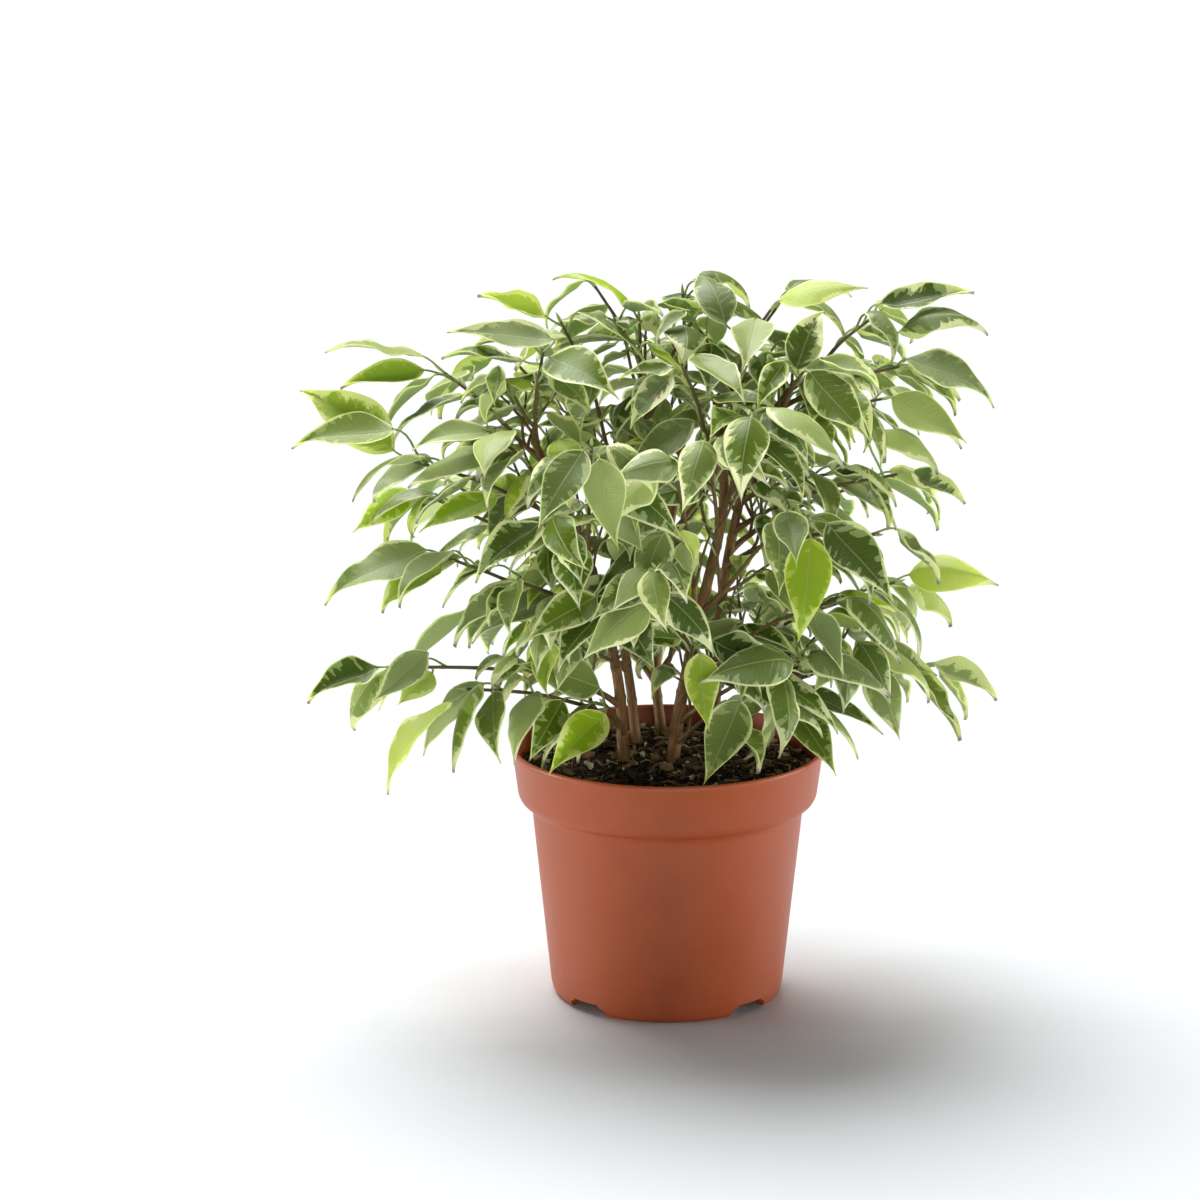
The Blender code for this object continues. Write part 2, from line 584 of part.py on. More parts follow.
def make_pot(where):
    """Thin moulded pot: collar with a small lip, tapering body, raised channel with drains, notched foot."""
    lip = POT_HEIGHT - RIM_LIP
    shoulder = POT_HEIGHT - COLLAR_HEIGHT
    rounding = FOOT_ROUNDING
    outside = [
        (RIM_RADIUS - WALL - 0.6 * MM, lip - 0.6 * MM),
        (RIM_RADIUS - WALL - 0.5 * MM, POT_HEIGHT - 0.3 * MM),
        (RIM_RADIUS - WALL * 0.5, POT_HEIGHT),
        (RIM_RADIUS, POT_HEIGHT - 0.8 * MM),
        (RIM_RADIUS - 0.4 * MM, lip - 0.9 * MM),
        (COLLAR_FOOT_RADIUS, shoulder + 1.4 * MM),
        (COLLAR_FOOT_RADIUS - 1.2 * MM, shoulder - 0.9 * MM),
        (BODY_TOP_RADIUS + 1.2 * MM, shoulder - SHOULDER_DROP + 0.9 * MM),
        (BODY_TOP_RADIUS, shoulder - SHOULDER_DROP - 1.2 * MM),
        (BODY_FOOT_RADIUS, FOOT_ROUNDING + 1.4 * MM),
        (FOOT_RADIUS + rounding * 0.62, rounding * 0.5),
        (FOOT_RADIUS + 0.6 * MM, 0),
        (CHANNEL_OUTER_RADIUS + 1.0 * MM, 0),
        (CHANNEL_OUTER_RADIUS, CHANNEL_HEIGHT),
        (CHANNEL_INNER_RADIUS + 1.8 * MM, CHANNEL_HEIGHT),
        (CHANNEL_INNER_RADIUS, 0),
        (0, 0),
    ]
    pot = turned("pot", pot_inside(0) + outside, where)
    cutters = collection("pot_cutters")
    for k in range(NOTCH_COUNT):
        angle = math.tau * (k + 0.5) / NOTCH_COUNT
        notch_cutter(f"notch_{k}", angle, cutters)
    for k in range(DRAIN_COUNT):
        # Half a facet on, so that each drain lies inside one facet of the floor.
        angle = math.tau * (k / DRAIN_COUNT + 0.5 / POT_SIDES)
        drain_cutter(f"drain_{k}", angle, cutters)
    cut(pot, cutters)
    return pot


def helper_object(name, edit, where):
    mesh = bpy.data.meshes.new(name)
    edit.to_mesh(mesh)
    edit.free()
    made = mesh_object(name, mesh, where)
    made.hide_render = True
    made.display_type = "WIRE"
    return made


def notch_cutter(name, angle, where):
    """A block with sloping flanks, across the foot ring."""
    edit = bmesh.new()
    bmesh.ops.create_cube(edit, size=1)
    depth = 13 * MM
    for vert in edit.verts:
        width = NOTCH_TOP_WIDTH if vert.co.z > 0 else NOTCH_WIDTH
        height = NOTCH_HEIGHT if vert.co.z > 0 else -NOTCH_HEIGHT * 0.2
        vert.co = Vector((vert.co.x * depth, vert.co.y * width, height))
    bmesh.ops.translate(edit, verts=edit.verts, vec=(FOOT_RADIUS + 0.4 * MM, 0, 0))
    bmesh.ops.rotate(edit, verts=edit.verts, matrix=Matrix.Rotation(angle, 3, "Z"))
    return helper_object(name, edit, where)


def drain_cutter(name, angle, where):
    edit = bmesh.new()
    bmesh.ops.create_cone(edit, cap_ends=True, segments=8, radius1=DRAIN_RADIUS, radius2=DRAIN_RADIUS, depth=6 * MM)
    bmesh.ops.translate(edit, verts=edit.verts, vec=(DRAIN_RING_RADIUS, 0, CHANNEL_HEIGHT + WALL / 2))
    bmesh.ops.rotate(edit, verts=edit.verts, matrix=Matrix.Rotation(angle, 3, "Z"))
    return helper_object(name, edit, where)


def soil_relief(x, y):
    """Height of the crumbly surface above its mean."""
    return SOIL_BUMP * (math.sin(x * 210 + 1.3) * math.cos(y * 260) * 0.6 + math.sin((x + y) * 430) * 0.4)


def make_soil(stems, where):
    """Potting soil that fills the pot, mounded to its middle, with a plain hole for each stem."""
    edge = POT_HEIGHT - COLLAR_HEIGHT + 1.2 * MM
    lean = (RIM_RADIUS - WALL - 0.6 * MM - (COLLAR_FOOT_RADIUS - WALL)) / (POT_HEIGHT - RIM_LIP - edge)
    edge_radius = COLLAR_FOOT_RADIUS - WALL - GAP + (SOIL_EDGE_HEIGHT - edge) * lean
    rings = [(edge_radius * share, SOIL_CROWN_HEIGHT + (SOIL_EDGE_HEIGHT - SOIL_CROWN_HEIGHT) * share**2)
             for share in (0, 0.54)]
    profile = [*rings, (edge_radius, SOIL_EDGE_HEIGHT), *reversed(pot_inside(GAP))]
    soil = turned("soil", profile, where)
    for vert in soil.data.vertices:
        radius = math.hypot(vert.co.x, vert.co.y)
        if vert.co.z > SOIL_EDGE_HEIGHT - 0.1 * MM and radius < edge_radius - 3 * MM:
            vert.co.z += soil_relief(vert.co.x, vert.co.y)
    cutters = collection("soil_cutters")
    for name, (points, radius) in stems.items():
        ends = [points[0] - Vector((0, 0, GAP)), points[1] + Vector((0, 0, 5 * MM))]
        hole = tube_object(f"hole_{name}", ends, (radius + GAP + 0.1 * MM,) * 2, cutters, 1)
        hole.hide_render = True
        hole.display_type = "WIRE"
    cut(soil, cutters)
    return soil


def build():
    for old in list(bpy.data.objects):
        bpy.data.objects.remove(old)
    plant = collection("weeping_fig")
    wood = material("fig_bark", WOOD_BROWN, 0.7)
    green = material("fig_leaf", LEAF_GREEN, 0.42)
    stems, sprays = grow_plant()
    make_pot(plant).data.materials.append(material("terracotta_plastic", TERRACOTTA, 0.45))
    make_soil(stems, plant).data.materials.append(material("potting_soil", SOIL_BROWN, 0.95))
    for name, (points, radius) in stems.items():
        stem = tube_object(f"stem_{name}", points, (radius, radius * 0.55), plant, 1)
        branches = collection(f"branches_{name}")
        for spray in sprays:
            if spray.stem == name:
                tube_object(f"branch_{spray.name}", spray.wood, BRANCH_RADII, branches)
        fuse(stem, branches)
        stem.data.materials.append(wood)
    for spray in sprays:
        twig = tube_object(f"spray_{spray.name}", spray.twig, TWIG_RADII, plant)
        leaves = collection(f"leaves_{spray.name}")
        for k, leaf in enumerate(spray.leaves):
            leaf_object(f"leaf_{spray.name}_{k}", leaf, leaves)
        fuse(twig, leaves)
        twig.data.materials.append(green)
    print("leaves:", sum(len(spray.leaves) for spray in sprays))


rng = random.Random(SEED)
build()
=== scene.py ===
"""Looks of the potted weeping fig: fine leaves, bark, potting soil and a moulded pot round the solids.

The plant is grown here by the same seeded rule as in the part's source, so every fine leaf lies on
the solid leaf it stands for. Young leaves and side shoots are then grown in the same crown.
Lengths are metres, +Z is up, and the camera looks along +Y.
"""

import functools
import json
import math
import random

import bmesh
import bpy
from mathutils import Matrix, Vector, noise
from mathutils.bvhtree import BVHTree

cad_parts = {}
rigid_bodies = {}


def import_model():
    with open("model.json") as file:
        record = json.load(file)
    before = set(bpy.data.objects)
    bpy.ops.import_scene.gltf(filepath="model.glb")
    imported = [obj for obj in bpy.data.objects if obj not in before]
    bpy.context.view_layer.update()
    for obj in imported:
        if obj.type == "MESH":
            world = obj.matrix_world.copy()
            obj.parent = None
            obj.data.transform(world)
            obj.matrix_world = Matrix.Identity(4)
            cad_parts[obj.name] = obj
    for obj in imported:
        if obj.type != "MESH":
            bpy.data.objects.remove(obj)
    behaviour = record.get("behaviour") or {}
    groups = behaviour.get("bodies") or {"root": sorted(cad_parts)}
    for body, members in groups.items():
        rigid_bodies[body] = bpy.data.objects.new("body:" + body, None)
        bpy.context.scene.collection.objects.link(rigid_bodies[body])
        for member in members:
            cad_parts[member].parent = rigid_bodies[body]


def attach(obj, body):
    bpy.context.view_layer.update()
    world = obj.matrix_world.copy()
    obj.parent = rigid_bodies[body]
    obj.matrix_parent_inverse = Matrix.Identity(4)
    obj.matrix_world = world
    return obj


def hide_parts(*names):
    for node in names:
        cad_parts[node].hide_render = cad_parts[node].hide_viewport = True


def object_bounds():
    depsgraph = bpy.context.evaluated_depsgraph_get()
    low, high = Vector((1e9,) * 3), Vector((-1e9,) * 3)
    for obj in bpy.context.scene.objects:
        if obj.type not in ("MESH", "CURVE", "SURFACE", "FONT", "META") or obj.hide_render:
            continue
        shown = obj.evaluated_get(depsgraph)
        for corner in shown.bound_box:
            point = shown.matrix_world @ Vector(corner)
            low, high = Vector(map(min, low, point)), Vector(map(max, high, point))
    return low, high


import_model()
cad_low, cad_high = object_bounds()
MM = 0.001

# Pot
POT_HEIGHT = 98 * MM
RIM_RADIUS = 60 * MM
RIM_LIP = 1.8 * MM
COLLAR_HEIGHT = 20 * MM
COLLAR_FOOT_RADIUS = 57.4 * MM
SHOULDER_DROP = 3.2 * MM
BODY_TOP_RADIUS = 52.1 * MM
BODY_FOOT_RADIUS = 44.9 * MM
FOOT_ROUNDING = 3.6 * MM
FOOT_RADIUS = 42 * MM
WALL = 1.3 * MM
CHANNEL_HEIGHT = 5.2 * MM
CHANNEL_INNER_RADIUS = 19 * MM
CHANNEL_OUTER_RADIUS = 39.2 * MM
POT_SIDES = 32
NOTCH_COUNT = 4
NOTCH_WIDTH = 21 * MM
NOTCH_TOP_WIDTH = 15 * MM
NOTCH_HEIGHT = 4.6 * MM
DRAIN_COUNT = 8
DRAIN_RADIUS = 2.7 * MM
DRAIN_RING_RADIUS = 30 * MM
# The inside's corners, where the collar begins and under the lip
COLLAR_INSIDE_HEIGHT = POT_HEIGHT - COLLAR_HEIGHT + 1.2 * MM
LIP_INSIDE_RADIUS = RIM_RADIUS - WALL - 0.6 * MM

# Soil
GAP = 0.35 * MM
SOIL_EDGE_HEIGHT = 89.4 * MM
SOIL_CROWN_HEIGHT = 91.6 * MM
SOIL_BUMP = 1.1 * MM
STEM_ROOT_HEIGHT = 62 * MM
# The collar's inside leans outwards, so the radius of the soil's edge follows from its height.
COLLAR_LEAN = ((LIP_INSIDE_RADIUS - (COLLAR_FOOT_RADIUS - WALL))
               / (POT_HEIGHT - RIM_LIP - COLLAR_INSIDE_HEIGHT))
SOIL_EDGE_RADIUS = COLLAR_FOOT_RADIUS - WALL - GAP + (SOIL_EDGE_HEIGHT - COLLAR_INSIDE_HEIGHT) * COLLAR_LEAN

# Wood and leaves
SEED = 27
BRANCH_RADII = (1.25 * MM, 0.85 * MM)
TWIG_RADII = (0.82 * MM, 0.56 * MM)
TWIG_LENGTH = 58 * MM
JOIN_STRAIGHT = 3.5 * MM
PETIOLE_RADIUS = 0.6 * MM
PETIOLE_ROOT_RADIUS = 0.33 * MM
PETIOLE_LENGTH = 8.5 * MM
LEAF_LENGTH = (26 * MM, 39 * MM)
LEAF_ASPECT = 0.46
RIB_DEPTH = 1.2 * MM
EDGE_WAVE = 0.35 * MM
LEAF_STATIONS = (0.1, 0.36, 0.66, 0.86)
LEAVES_PER_SPRAY = 5
CLEARANCE = 0.45 * MM
CROWN_CENTRE = Vector((-4 * MM, 6 * MM, 150 * MM))
CROWN_REACH = 80 * MM

# Each stem's base radius and its route, in millimetres from the soil up.
STEMS = {
    "left": (2.9, [(-17, -1, 94), (-18, -3, 116), (-22, -6, 141), (-29, -9, 169), (-39, -12, 195),
                   (-51, -12, 220)]),
    "rear_left": (2.5, [(-12, 24, 94), (-14, 25, 113), (-17, 27, 132), (-21, 31, 153), (-16, 34, 195),
                        (-10, 32, 232)]),
    "middle": (3.3, [(2, -2, 94), (4, -5, 111), (8, -8, 133), (14, -7, 160), (21, 0, 194), (18, 6, 231)]),
    "right": (3.0, [(19, 29, 94), (19, 26, 113), (21, 20, 150), (26, 15, 183), (34, 10, 215),
                    (48, 8, 238)]),
    "rear": (2.6, [(-2, 38, 94), (-4, 44, 115), (-2, 52, 145), (3, 60, 178), (8, 68, 212)]),
    "low_right": (2.2, [(30, 22, 94), (34, 18, 107), (42, 10, 118), (51, 4, 126)]),
}

# Each spray's stem, the share of that stem's height where its branch forks,
# the twig's tip in millimetres, and its placed leaves: (base, tip, face).
# The other leaves on the twig follow the rule in ruled_leaf.
UP = (0, 0, 1)
VIEWER = (0, -0.8, 0.6)
TILTED = (0, -0.45, 0.9)
TURNED_LEFT = (-0.9, -0.42, 0.3)
SPRAYS = {
    "low_left_long": ("left", 0.18, (-104, -25, 135), [
        ((-109, -25, 135), (-138, -30, 122), TILTED), ((-91, -25, 141), (-111, -35, 123), VIEWER),
        ((-89, -22, 132), (-102, -30, 121), VIEWER)]),
    "low_left_hanging": ("left", 0.1, (-76, -42, 131), [
        ((-81, -45, 127), (-106, -60, 95), TURNED_LEFT), ((-70, -46, 134), (-80, -58, 103), TURNED_LEFT)]),
    "mid_left": ("left", 0.38, (-86, -15, 176), [
        ((-91, -15, 178), (-132, -20, 159), TILTED), ((-85, -18, 173), (-110, -25, 156), TILTED)]),
    "left_pale": ("left", 0.53, (-90, 4, 194), [
        ((-97, 5, 196), (-120, 0, 181), VIEWER), ((-64, -20, 200), (-94, -30, 189), TILTED)]),
    "far_left": ("left", 0.72, (-97, -18, 213), [
        ((-103, -15, 216), (-140, 0, 238), VIEWER), ((-102, -28, 227), (-141, -35, 224), TILTED)]),
    "upper_left": ("left", 0.93, (-86, 10, 242), [
        ((-92, 10, 247), (-130, 5, 252), UP), ((-92, 5, 243), (-124, -4, 240), TILTED)]),
    "left_front": ("left", 0.8, (-64, -28, 224), [
        ((-67, -28, 226), (-96, -38, 222), TILTED), ((-66, -34, 218), (-98, -30, 205), TILTED)]),
    "top_left": ("left", 1.0, (-47, -4, 253), [
        ((-43, -8, 257), (-83, -14, 261), TILTED), ((-54, 0, 247), (-86, 2, 250), UP)]),
    "front_left_upper": ("left", 0.57, (-29, -56, 227), [
        ((-32, -62, 226), (-49, -80, 201), VIEWER), ((-26, -62, 223), (-21, -82, 193), VIEWER)]),
    "front_left_mid": ("left", 0.31, (-17, -52, 168), [
        ((-27, -56, 170), (-54, -70, 157), VIEWER), ((-9, -57, 167), (-33, -77, 151), VIEWER)]),
    "front_left_low": ("left", 0.08, (-24, -26, 122), [
        ((-24, -32, 119), (-46, -52, 101), VIEWER), ((-26, -26, 127), (-58, -35, 139), VIEWER),
        ((-40, -20, 121), (-53, -34, 99), VIEWER)]),
    "left_inner": ("left", 0.42, (-56, -42, 172), []),
    "left_inner_high": ("left", 0.5, (-47, -54, 197), []),
    "crown_left": ("rear_left", 1.0, (-11, 30, 258), [((-13, 30, 261), (-44, 30, 276), UP)]),
    "crown_far_left": ("rear_left", 0.8, (-41, 15, 260), [((-46, 12, 262), (-72, 6, 272), TILTED)]),
    "crown_middle": ("rear_left", 0.9, (10, 12, 262), []),
    "rear_left_low": ("rear_left", 0.28, (-74, 44, 140), []),
    "rear_left_mid": ("rear_left", 0.5, (-84, 50, 190), []),
    "rear_left_high": ("rear_left", 0.74, (-60, 56, 238), []),
    "centre_high": ("middle", 0.84, (4, -28, 252), []),
    "front_centre": ("middle", 0.5, (0, -50, 220), [((3, -54, 219), (-24, -66, 216), VIEWER)]),
    "front_low": ("middle", 0.25, (9, -44, 150), [
        ((11, -50, 147), (13, -64, 120), VIEWER), ((-3, -52, 170), (18, -64, 150), VIEWER)]),
    "front_mid_left": ("middle", 0.4, (-6, -60, 182), [((-8, -66, 182), (-3, -84, 163), VIEWER)]),
    "front_high": ("middle", 0.68, (12, -58, 230), [((12, -64, 230), (4, -84, 207), VIEWER)]),
    "front_high_right": ("middle", 0.78, (30, -54, 240), [((29, -60, 238), (23, -84, 211), VIEWER)]),
    "front_right": ("middle", 0.54, (49, -60, 202), [
        ((42, -70, 205), (45, -96, 192), VIEWER), ((51, -66, 194), (47, -84, 158), VIEWER),
        ((57, -58, 198), (82, -74, 172), VIEWER)]),
    "crown_right": ("middle", 1.0, (38, -5, 268), [
        ((41, -6, 271), (74, -8, 277), TILTED), ((21, -4, 262), (10, 24, 276), TILTED)]),
    "front_right_low": ("middle", 0.16, (49, -40, 141), [((46, -46, 142), (10, -60, 139), VIEWER)]),
    "front_over_soil": ("middle", 0.06, (27, -26, 122), [((27, -32, 124), (13, -51, 96), VIEWER)]),
    "front_right_mid": ("middle", 0.34, (62, -46, 166), []),
    "far_upper_right": ("right", 1.0, (78, 6, 264), [
        ((79, 6, 268), (115, 4, 274), TILTED), ((86, 0, 258), (121, -2, 260), TILTED)]),
    "right_upper": ("right", 0.9, (86, -14, 248), [((88, -15, 251), (123, -22, 236), TILTED)]),
    "right_mid_upper": ("right", 0.8, (79, -26, 238), [((82, -28, 239), (110, -38, 224), VIEWER)]),
    "front_right_upper": ("right", 0.86, (49, -44, 252), [
        ((50, -50, 253), (72, -66, 230), VIEWER), ((46, -34, 250), (56, -18, 272), VIEWER)]),
    "right_mid": ("right", 0.57, (86, -10, 206), [
        ((91, -10, 207), (112, -16, 196), TILTED), ((76, -20, 222), (101, -30, 211), TILTED)]),
    "right_inner": ("right", 0.64, (60, -10, 206), []),
    "far_right": ("right", 0.27, (87, 8, 160), [
        ((92, 8, 163), (127, 3, 160), VIEWER), ((92, 16, 156), (110, 20, 140), TILTED)]),
    "right_front_mid": ("right", 0.48, (76, -42, 190), []),
    "rear_right_high": ("right", 0.8, (84, 46, 236), []),
    "rear_right_mid": ("right", 0.52, (90, 52, 192), []),
    "rear_right_low": ("right", 0.24, (76, 52, 144), []),
    "rear_crown": ("rear", 1.0, (6, 54, 264), []),
    "rear_crown_right": ("rear", 0.86, (42, 44, 260), []),
    "rear_crown_left": ("rear", 0.9, (-28, 48, 268), []),
    "rear_high_left": ("rear", 0.62, (-36, 98, 212), []),
    "rear_high_right": ("rear", 0.66, (42, 98, 206), []),
    "rear_far": ("rear", 0.42, (2, 112, 176), []),
    "rear_low_left": ("rear", 0.2, (-44, 84, 140), []),
    "rear_low_right": ("rear", 0.22, (34, 90, 138), []),
    "low_right_long": ("low_right", 1.0, (99, 4, 128), [
        ((76, -5, 136), (103, -10, 129), VIEWER), ((102, 5, 129), (128, 0, 115), TILTED)]),
    "low_right_hanging": ("low_right", 0.8, (74, -20, 139), [
        ((71, -24, 145), (84, -34, 122), VIEWER), ((76, -22, 134), (87, -32, 108), VIEWER)]),
    "right_over_rim": ("low_right", 0.5, (46, -6, 116), [((47, -8, 115), (63, -31, 94), TILTED)]),
}

# Windows in the foliage, seen from the front, where the bare trunks show: x from and to, z from and to.
TRUNK_WINDOWS = ((-24 * MM, 24 * MM, 0, 142 * MM), (11 * MM, 31 * MM, 156 * MM, 213 * MM))
CROWN_TOP = 271 * MM

# How often each kind of piece is drawn anew before it is given up, and a leaf's least distance from its twig
BRANCH_DRAWS, PLACED_DRAWS, RULED_DRAWS, YOUNG_DRAWS, SHOOT_DRAWS = 60, 40, 30, 14, 16
ROOM, YOUNG_ROOM = 1.6 * MM, 1.4 * MM

# Camera, matched to the photograph
CAMERA_DISTANCE = 1.7
CAMERA_DROP = math.radians(13.64)
CAMERA_AIM = Vector((-0.02593, 0, 0.15493))
CAMERA_LENS = 133.935
SENSOR_WIDTH = 36

# Fine meshes, and where each material lies in the foliage's list
LEAF, BARK, STALK = range(3)
BLADE_ROWS, BLADE_COLUMNS = 20, 8
BLADE_THICKNESS = 0.3 * MM
FINE_RIB_DEPTH = (1.6 * MM, 4.2 * MM)
RIPPLE = (0.4 * MM, 1.6 * MM)
TIP_DROOP = (1.5 * MM, 4.5 * MM)
TIP_SWAY = 2.2 * MM
# Blades are laid apart in a few steps, tested as coarser sheets, and kept below the top of the solids' box.
SHEET_ROWS, SHEET_COLUMNS = 10, 4
SETTLING_STEPS = 8
SETTLING_SHARE = 0.4
TOP_MARGIN = 0.3 * MM
STALK_RADII = (0.52 * MM, 0.42 * MM)
WOOD_SIDES = 12
TWIG_SIDES = 8
STALK_SIDES = 6
NODE_SPACING = (11 * MM, 19 * MM)
TRUNK_SLIM = 0.84
ROOT_FLARE = 0.22
BUD_LENGTH = 4.2 * MM
FINE_POT_SIDES = 144
SOIL_RINGS = 54
SOIL_SECTORS = 180

# Leaves that the solids leave to the scene
YOUNG_LENGTH = (17 * MM, 29 * MM)
SHOOT_LENGTH = (24 * MM, 38 * MM)
SHOOT_RADII = (0.7 * MM, 0.42 * MM)
YOUNG_PER_TWIG = 2
YOUNG_PER_SHOOT = 4
YOUNG_LOWEST = 112 * MM
SHOOT_LOWEST = 132 * MM
SHOOT_CROWN = 0.86
CROWN_MIDDLE = Vector((-4 * MM, 6 * MM, 188 * MM))
CROWN_HALF = Vector((112 * MM, 104 * MM, 88 * MM))

# Leaves with a painted glow: bright yellow-green, painted for the light from behind shining through them, by
# spray and their number on it
SUNLIT = {
    "far_left": (0,), "far_right": (0,), "low_left_hanging": (0,), "left_pale": (0, 1), "front_low": (0,),
    "crown_left": (0,), "crown_right": (0,), "mid_left": (1,), "front_left_low": (0,), "upper_left": (1,),
    "low_left_long": (2,), "crown_far_left": (0,), "front_right": (1,), "rear_left_high": (1, 3),
}

# The share of young leaves given the same painted glow, and the seed for every look that isn't growth
SUNLIT_YOUNG = 0.12
LOOKS_SEED = 5

# Soil scraps: how many, their lengths in mm, their thickness and width by length, how far they stand up,
# and their material: its name, its darkest and lightest colour, roughness and grain in mm
SCRAPS = {
    "soil_crumbs": (900, (0.9, 2.6), (0.5, 0.9), (0.6, 1.0), 0.25,
                    ("peat_crumbs", "#150e09", "#4f3826", 0.9, 0.5)),
    "bark_chips": (260, (2.5, 9.5), (0.1, 0.25), (0.3, 0.75), 0.6,
                   ("pine_bark_chips", "#2a1b12", "#a07c57", 0.7, 0.6)),
    "perlite": (170, (0.9, 3.0), (0.4, 0.8), (0.35, 0.9), 0.4,
                ("expanded_perlite", "#e6dcc2", "#fdf7e8", 0.8, 0.3)),
}
FIBRE_COUNT = 150
FIBRE_WEAR = ("root_fibres", "#5a412a", "#c4a983", 0.8, 0.5)

# Lights: each window's direction, its width in the sky and its strength. The key is behind, at the upper
# left; the two low strips brighten the edges. The front softbox (place, aim, diameter, watts) only fills.
WORLD_STRENGTH = 0.05
WINDOWS = {
    "key_window": ((-43, 101, 186), math.radians(46), 4.1),
    "sky_window": ((-20, 92, 170), math.radians(104), 0.68),
    "right_strip": ((150, 8, 7), math.radians(8), 1.9),
    "left_strip": ((-150, 8, 7), math.radians(8), 1.8),
}
FRONT_LIGHT = ((0.3, -1.9, 0.3), (0, 0, 0.1), 0.55, 8.5)
FLOOR_HALF = 14


def curve_through(route, count):
    """Points of a smooth Catmull-Rom curve through the route, evenly many in each of its steps."""
    padded = [2 * route[0] - route[1], *route, 2 * route[-1] - route[-2]]
    points = []
    for a, b, c, d in zip(padded, padded[1:], padded[2:], padded[3:]):
        for step in range(count):
            t = step / count
            points.append(0.5 * (2 * b + (c - a) * t + (2 * a - 5 * b + 4 * c - d) * t**2
                                 + (3 * b - a - 3 * c + d) * t**3))
    return points + [route[-1]]


def bezier(a, b, c, d, count):
    """Points of a cubic curve from a to d."""
    shares = [k / count for k in range(count + 1)]
    return [a * (1 - t) ** 3 + b * 3 * t * (1 - t) ** 2 + c * 3 * t**2 * (1 - t) + d * t**3 for t in shares]


def length_of(points):
    return sum((b - a).length for a, b in zip(points, points[1:]))


def share_of(points, share):
    """The point at a share of the way along, and the direction there."""
    place = share * (len(points) - 1)
    index = min(int(place), len(points) - 2)
    step = points[index + 1] - points[index]
    return points[index] + step * (place - index), step.normalized()


def nearest_on(points, place, samples=60):
    """The point of a path nearest to a place, and its share of the way."""
    shares = [k / samples for k in range(samples + 1)]
    best = min(shares, key=lambda share: (share_of(points, share)[0] - place).length)
    return share_of(points, best)[0], best


def branch_route(fork, up_stem, tip, count=24):
    """A branch leaves its stem upwards, bows outwards, and ends a little flatter than it began."""
    reach = tip - fork
    level = Vector((reach.x, reach.y, 0)).normalized()
    leaving = (up_stem + level * 1.1).normalized()
    ending = (reach.normalized() + level * 0.4 + Vector((0, 0, -0.1))).normalized()
    bow = reach.length * 0.36
    return bezier(fork, fork + leaving * bow, tip - ending * bow, tip, count)


def leaf_outline(t):
    """Half width along a weeping fig's leaf: rounded base, widest near a third, slender drip tip."""
    return t**0.85 * (1 - t) ** 1.7 / 0.1972


